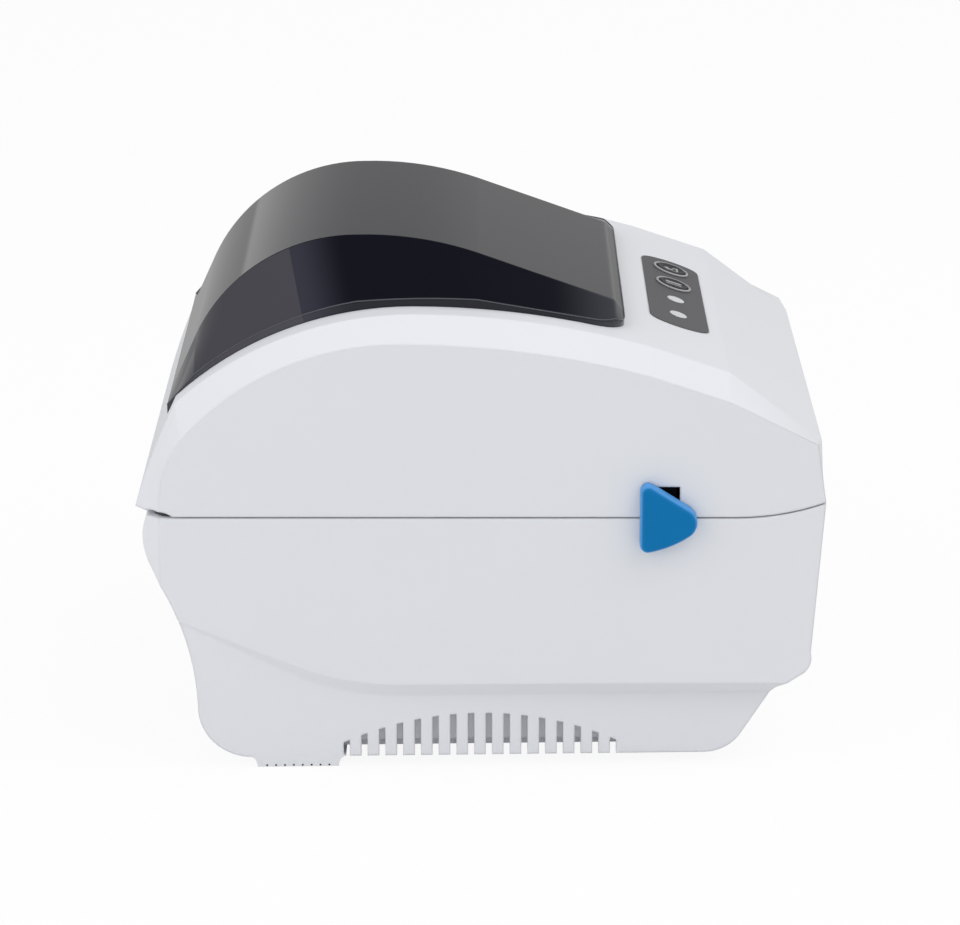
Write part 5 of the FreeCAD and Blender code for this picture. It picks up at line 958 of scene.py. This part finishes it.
class PRINTER_OT_screws(bpy.types.Operator):
    """Turn the plain screws into pan heads with a cross recess"""
    bl_idname = "printer.screws"
    bl_label = "Screws"

    def single(self, name):
        """Points of each separate screw of a node."""
        mesh = bmesh.new()
        mesh.from_mesh(nodes[name].data)
        bmesh.ops.remove_doubles(mesh, verts=mesh.verts, dist=MERGE)
        left = set(mesh.verts)
        found = []
        while left:
            reach = [left.pop()]
            points = []
            while reach:
                spot = reach.pop()
                points.append(spot.co.copy())
                for edge in spot.link_edges:
                    other = edge.other_vert(spot)
                    if other in left:
                        left.remove(other)
                        reach.append(other)
            found.append(points)
        mesh.free()
        return sorted(found, key=lambda points: tuple(round(part, 5) for part in min(points, key=tuple)))

    def screw(self, mesh, points):
        """A pan head screw in the place of one plain screw that stands along Z."""
        low = Vector([min(point[axis] for point in points) for axis in range(3)])
        high = Vector([max(point[axis] for point in points) for axis in range(3)])
        middle = (low + high) / 2
        wide = (high.x - low.x) / 2
        heads = [point.z for point in points if (point - middle).to_2d().length > wide * HEAD_POINTS]
        thick = max(heads) - min(heads)
        shank = (high.z - low.z) - thick
        upward = max(heads) > high.z - MERGE
        seat = min(heads) if upward else max(heads)
        place = Matrix.Translation((middle.x, middle.y, seat))
        if not upward:
            place = place @ Matrix.Rotation(math.pi, 4, "X")
        flat = wide * HEAD_FLAT
        wall = thick * HEAD_WALL
        dome = [(flat + (wide - flat) * out, wall + (thick - wall) * up) for out, up in quarter(6)]
        core = SCREW_CORE * wide
        root = core * THREAD_ROOT
        thread = []
        turns = int(shank / sizes().thread) - 1
        for step in range(turns):
            height = -sizes().thread * (step + THREAD_START)
            thread += [(root, height), (core, height - sizes().thread / 2)]
        outline = dome + [(wide, 0.0), (root, 0.0)] + thread + [(0.0, -shank)]
        rings = turned(mesh, outline, turns=40, place=place)
        arm, slot = wide * CROSS_ARM, wide * CROSS_SLOT
        cross = [(slot, slot), (slot, arm), (-slot, arm), (-slot, slot), (-arm, slot), (-arm, -slot),
                 (-slot, -slot), (-slot, -arm), (slot, -arm), (slot, -slot), (arm, -slot), (arm, slot)]
        top = [mesh.verts.new(place @ Vector((x, y, thick))) for x, y in cross]
        depth = thick - sizes().recess
        small = [(x * CROSS_TAPER, y * CROSS_TAPER) for x, y in cross]
        floor = [mesh.verts.new(place @ Vector((x, y, depth))) for x, y in small]
        for step in range(len(cross)):
            after = (step + 1) % len(cross)
            mesh.faces.new((top[step], top[after], floor[after], floor[step]))
        mesh.faces.new(floor)
        fill_between(mesh, (rings[0], top))

    def execute(self, context):
        steel = metal("Screw steel", "screw", rough=0.3, depth=0.000006, line=0.0002)
        for name, body in SCREWS.items():
            mesh = bmesh.new()
            for points in self.single(name):
                self.screw(mesh, points)
            made = piece(name + "_cross", mesh, steel, body)
            made.data.set_sharp_from_angle(angle=HEAD_SHARP)
            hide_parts(name)
        return {"FINISHED"}


class PRINTER_OT_feet(bpy.types.Operator):
    """Finish the front feet and shape the rear feet, which run on from the casing"""
    bl_idname = "printer.feet"
    bl_label = "Feet"

    def outline(self, front, rear):
        """Side view of a rear foot as (y, z), with a hollow curve up to the casing at each end."""
        flare = sizes().foot_flare
        end = [(front - flare * (1 - along), SKIRT_LOW * up) for along, up in quarter(8)]
        other = [(rear + front - y, z) for y, z in reversed(end)]
        return end + other + [(rear, SKIRT_LOW + FOOT_LAP), (front, SKIRT_LOW + FOOT_LAP)]

    def outside(self, y):
        """Half the width over the feet at that depth."""
        return SKIRT_HALF + SKIRT_SPREAD * y

    def hole(self, mesh, side, y):
        """A blind hole in a foot's outer side, with painted shade on its walls and floor; returns the points
        of its mouth.
        """
        radius, depth = sizes().foot_hole, sizes().hole_depth
        turn = Vector((side, -SKIRT_SPREAD, 0)).to_track_quat("Z", "Y").to_matrix().to_4x4()
        place = Matrix.Translation((side * self.outside(y), y, radius * HOLE_HEIGHT)) @ turn
        rings = turned(mesh, [(radius, 0.0), (radius, -depth), (0.0, -depth)], turns=20, place=place)
        for spot in rings[1]:
            for face in spot.link_faces:
                face.material_index = HOLE_SHADE
        return rings[0]

    def execute(self, context):
        pale = plastic("Foot plastic", "casing", rough=0.46, depth=0.000012, soft="lap_edge",
                       drift=0.008, specular=0.35)
        # Painted shade for the holes in the rear feet.
        shade = plastic("Foot hole shade", "foot_hole", rough=0.8, depth=0.00001, soft="print_edge")
        rubber = plastic("Foot rubber", "foot", rough=0.7, depth=0.00002, soft="fine_edge", drift=0.03,
                         dust=0.05)
        coat(rubber, "front_feet")
        corners = [spot.co for spot in nodes["rear_feet"].data.vertices]
        front = min(spot.y for spot in corners)
        rear = max(spot.y for spot in corners)
        inner = min(abs(spot.x) for spot in corners)
        feet = bmesh.new()
        count = int((rear - front) / sizes().foot_pitch) - 1
        for side in (-1, 1):
            outline = self.outline(front, rear)
            face = [feet.verts.new((side * self.outside(y), y, z)) for y, z in outline]
            back = [feet.verts.new((side * inner, y, z)) for y, z in outline]
            for step in range(len(outline)):
                feet.faces.new((face[step - 1], face[step], back[step], back[step - 1]))
            feet.faces.new(back)
            loops = [face]
            for step in range(count):
                y = (front + rear) / 2 + sizes().foot_pitch * (step - (count - 1) / 2)
                loops.append(self.hole(feet, side, y))
            fill_between(feet, loops)
        made = piece("rear_feet_shaped", feet, pale, "base", smooth=False)
        made.data.materials.append(shade)
        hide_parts("rear_feet")
        return {"FINISHED"}


def looked_at(tree, path):
    """One or more for rays from the camera, a gloss or a clear piece; zero for light that falls on things."""
    seen = math_node(tree, "ADD", path.outputs["Is Camera Ray"], path.outputs["Is Glossy Ray"])
    return math_node(tree, "ADD", seen, path.outputs["Is Transmission Ray"])


def mixed(tree, share, first, second):
    """A share of the second shader in the first."""
    made = add(tree, "MixShader")
    for socket, source in zip(made.inputs, (share, first, second)):
        tree.links.new(source, socket)
    return made.outputs[0]


class PRINTER_OT_stage(bpy.types.Operator):
    """Set up the floor, the light and the camera"""
    bl_idname = "printer.stage"
    bl_label = "Stage"

    def floor(self):
        mesh = bmesh.new()
        bmesh.ops.create_circle(mesh, cap_ends=True, segments=96, radius=studio().reach)
        data = bpy.data.meshes.new("floor")
        mesh.to_mesh(data)
        mesh.free()
        made = new_object("floor", data)
        made.location.z = -FLOOR_GAP
        paper, tree, shader = start_material("Floor paper")
        texture = effect(tree, moulded_grain, grain_size=0.004, drift_size=0.6)
        tone = drifting(tree, texture.outputs["Tone"], colours().floor, FLOOR_DRIFT)
        tree.links.new(tone, shader.inputs["Base Color"])
        set_inputs(shader, {"Roughness": 0.9, "Specular IOR Level": 0.0})
        glow = add(tree, "Emission")
        set_inputs(glow, {"Strength": 1.0})
        path = add(tree, "LightPath")
        carpet = scaled((1, 1, 1), studio().carpet)
        glare = blend_colours(tree, path.outputs["Is Glossy Ray"], (1.0, 1.0, 1.0), carpet)
        tree.links.new(glare, glow.inputs["Color"])
        seen = looked_at(tree, path)
        share = math_node(tree, "MULTIPLY", seen, studio().whiteness)
        share.node.use_clamp = True
        paper_seen = mixed(tree, share, shader.outputs[0], glow.outputs[0])
        clear = add(tree, "BsdfTransparent")
        under = add(tree, "NewGeometry")
        sheet = mixed(tree, under.outputs["Backfacing"], paper_seen, clear.outputs[0])
        tree.links.new(sheet, tree.nodes["Material Output"].inputs["Surface"])
        data.materials.append(paper)

    def sky(self):
        world = bpy.data.worlds.new("Studio")
        bpy.context.scene.world = world
        world.use_nodes = True
        tree = world.node_tree
        plain = tree.nodes["Background"]
        set_inputs(plain, {"Color": (1, 1, 1, 1), "Strength": studio().ambient})
        white = add(tree, "Background")
        set_inputs(white, {"Strength": 1.0})
        where = parted(tree, "TexCoord", "Generated")
        mirrored = ranged(tree, where["Z"], target=(studio().horizon, studio().ceiling),
                          source=(0.0, studio().horizon_top))
        path = add(tree, "LightPath")
        glare = blend_colours(tree, path.outputs["Is Glossy Ray"], (1.0, 1.0, 1.0), mirrored)
        tree.links.new(glare, white.inputs["Color"])
        seen = looked_at(tree, path)
        seen.node.use_clamp = True
        both = mixed(tree, seen, plain.outputs[0], white.outputs[0])
        tree.links.new(both, tree.nodes["World Output"].inputs["Surface"])

    def lamp(self, name, place, side, power):
        data = bpy.data.lights.new(name, "AREA")
        data.shape = "RECTANGLE"
        data.size = data.size_y = side
        data.energy = power
        made = new_object(name, data)
        made.location = place
        made.rotation_euler = (Vector(studio().aim) - Vector(place)).to_track_quat("-Z", "Y").to_euler()
        made.visible_glossy = False

    def execute(self, context):
        scene = bpy.context.scene
        scene.view_settings.view_transform = "Standard"
        self.floor()
        self.sky()
        self.lamp("front_lamp", studio().key_place, studio().key_side, studio().key)
        self.lamp("rear_lamp", studio().back_place, studio().back_side, studio().back)
        data = bpy.data.cameras.new("camera")
        data.lens = studio().lens
        data.sensor_width = 36.0
        data.clip_end = 60.0
        made = new_object("camera", data)
        made.location = studio().camera
        made.rotation_euler = (math.pi / 2 - studio().pitch, 0, -math.pi / 2)
        scene.camera = made
        return {"FINISHED"}


STEPS = (PRINTER_OT_casing, PRINTER_OT_window, PRINTER_OT_panel, PRINTER_OT_latches, PRINTER_OT_label_bay,
         PRINTER_OT_works, PRINTER_OT_electronics, PRINTER_OT_switch, PRINTER_OT_screws, PRINTER_OT_feet,
         PRINTER_OT_stage)


class PRINTER_PT_sidebar(bpy.types.Panel):
    """Lists the printer's colours, sizes and steps"""
    bl_label = "Label printer"
    bl_idname = "PRINTER_PT_sidebar"
    bl_space_type = "VIEW_3D"
    bl_region_type = "UI"
    bl_category = "Printer"

    def draw(self, context):
        for group in (colours(), sizes(), studio()):
            column = self.layout.column()
            for word in group.__annotations__:
                column.prop(group, word)
        for step in STEPS:
            self.layout.operator(step.bl_idname)


CLASSES = (PrinterColours, PrinterSizes, PrinterStudio) + STEPS + (PRINTER_PT_sidebar,)


def register():
    for kind in CLASSES:
        bpy.utils.register_class(kind)
    bpy.types.Scene.printer_colours = PointerProperty(type=PrinterColours)
    bpy.types.Scene.printer_sizes = PointerProperty(type=PrinterSizes)
    bpy.types.Scene.printer_studio = PointerProperty(type=PrinterStudio)


def unregister():
    del bpy.types.Scene.printer_studio
    del bpy.types.Scene.printer_sizes
    del bpy.types.Scene.printer_colours
    for kind in reversed(CLASSES):
        bpy.utils.unregister_class(kind)


def main():
    register()
    bpy.ops.printer.casing()
    bpy.ops.printer.window()
    bpy.ops.printer.panel()
    bpy.ops.printer.latches()
    bpy.ops.printer.label_bay()
    bpy.ops.printer.works()
    bpy.ops.printer.electronics()
    bpy.ops.printer.switch()
    bpy.ops.printer.screws()
    bpy.ops.printer.feet()
    bpy.ops.printer.stage()


if __name__ == "__main__":
    main()
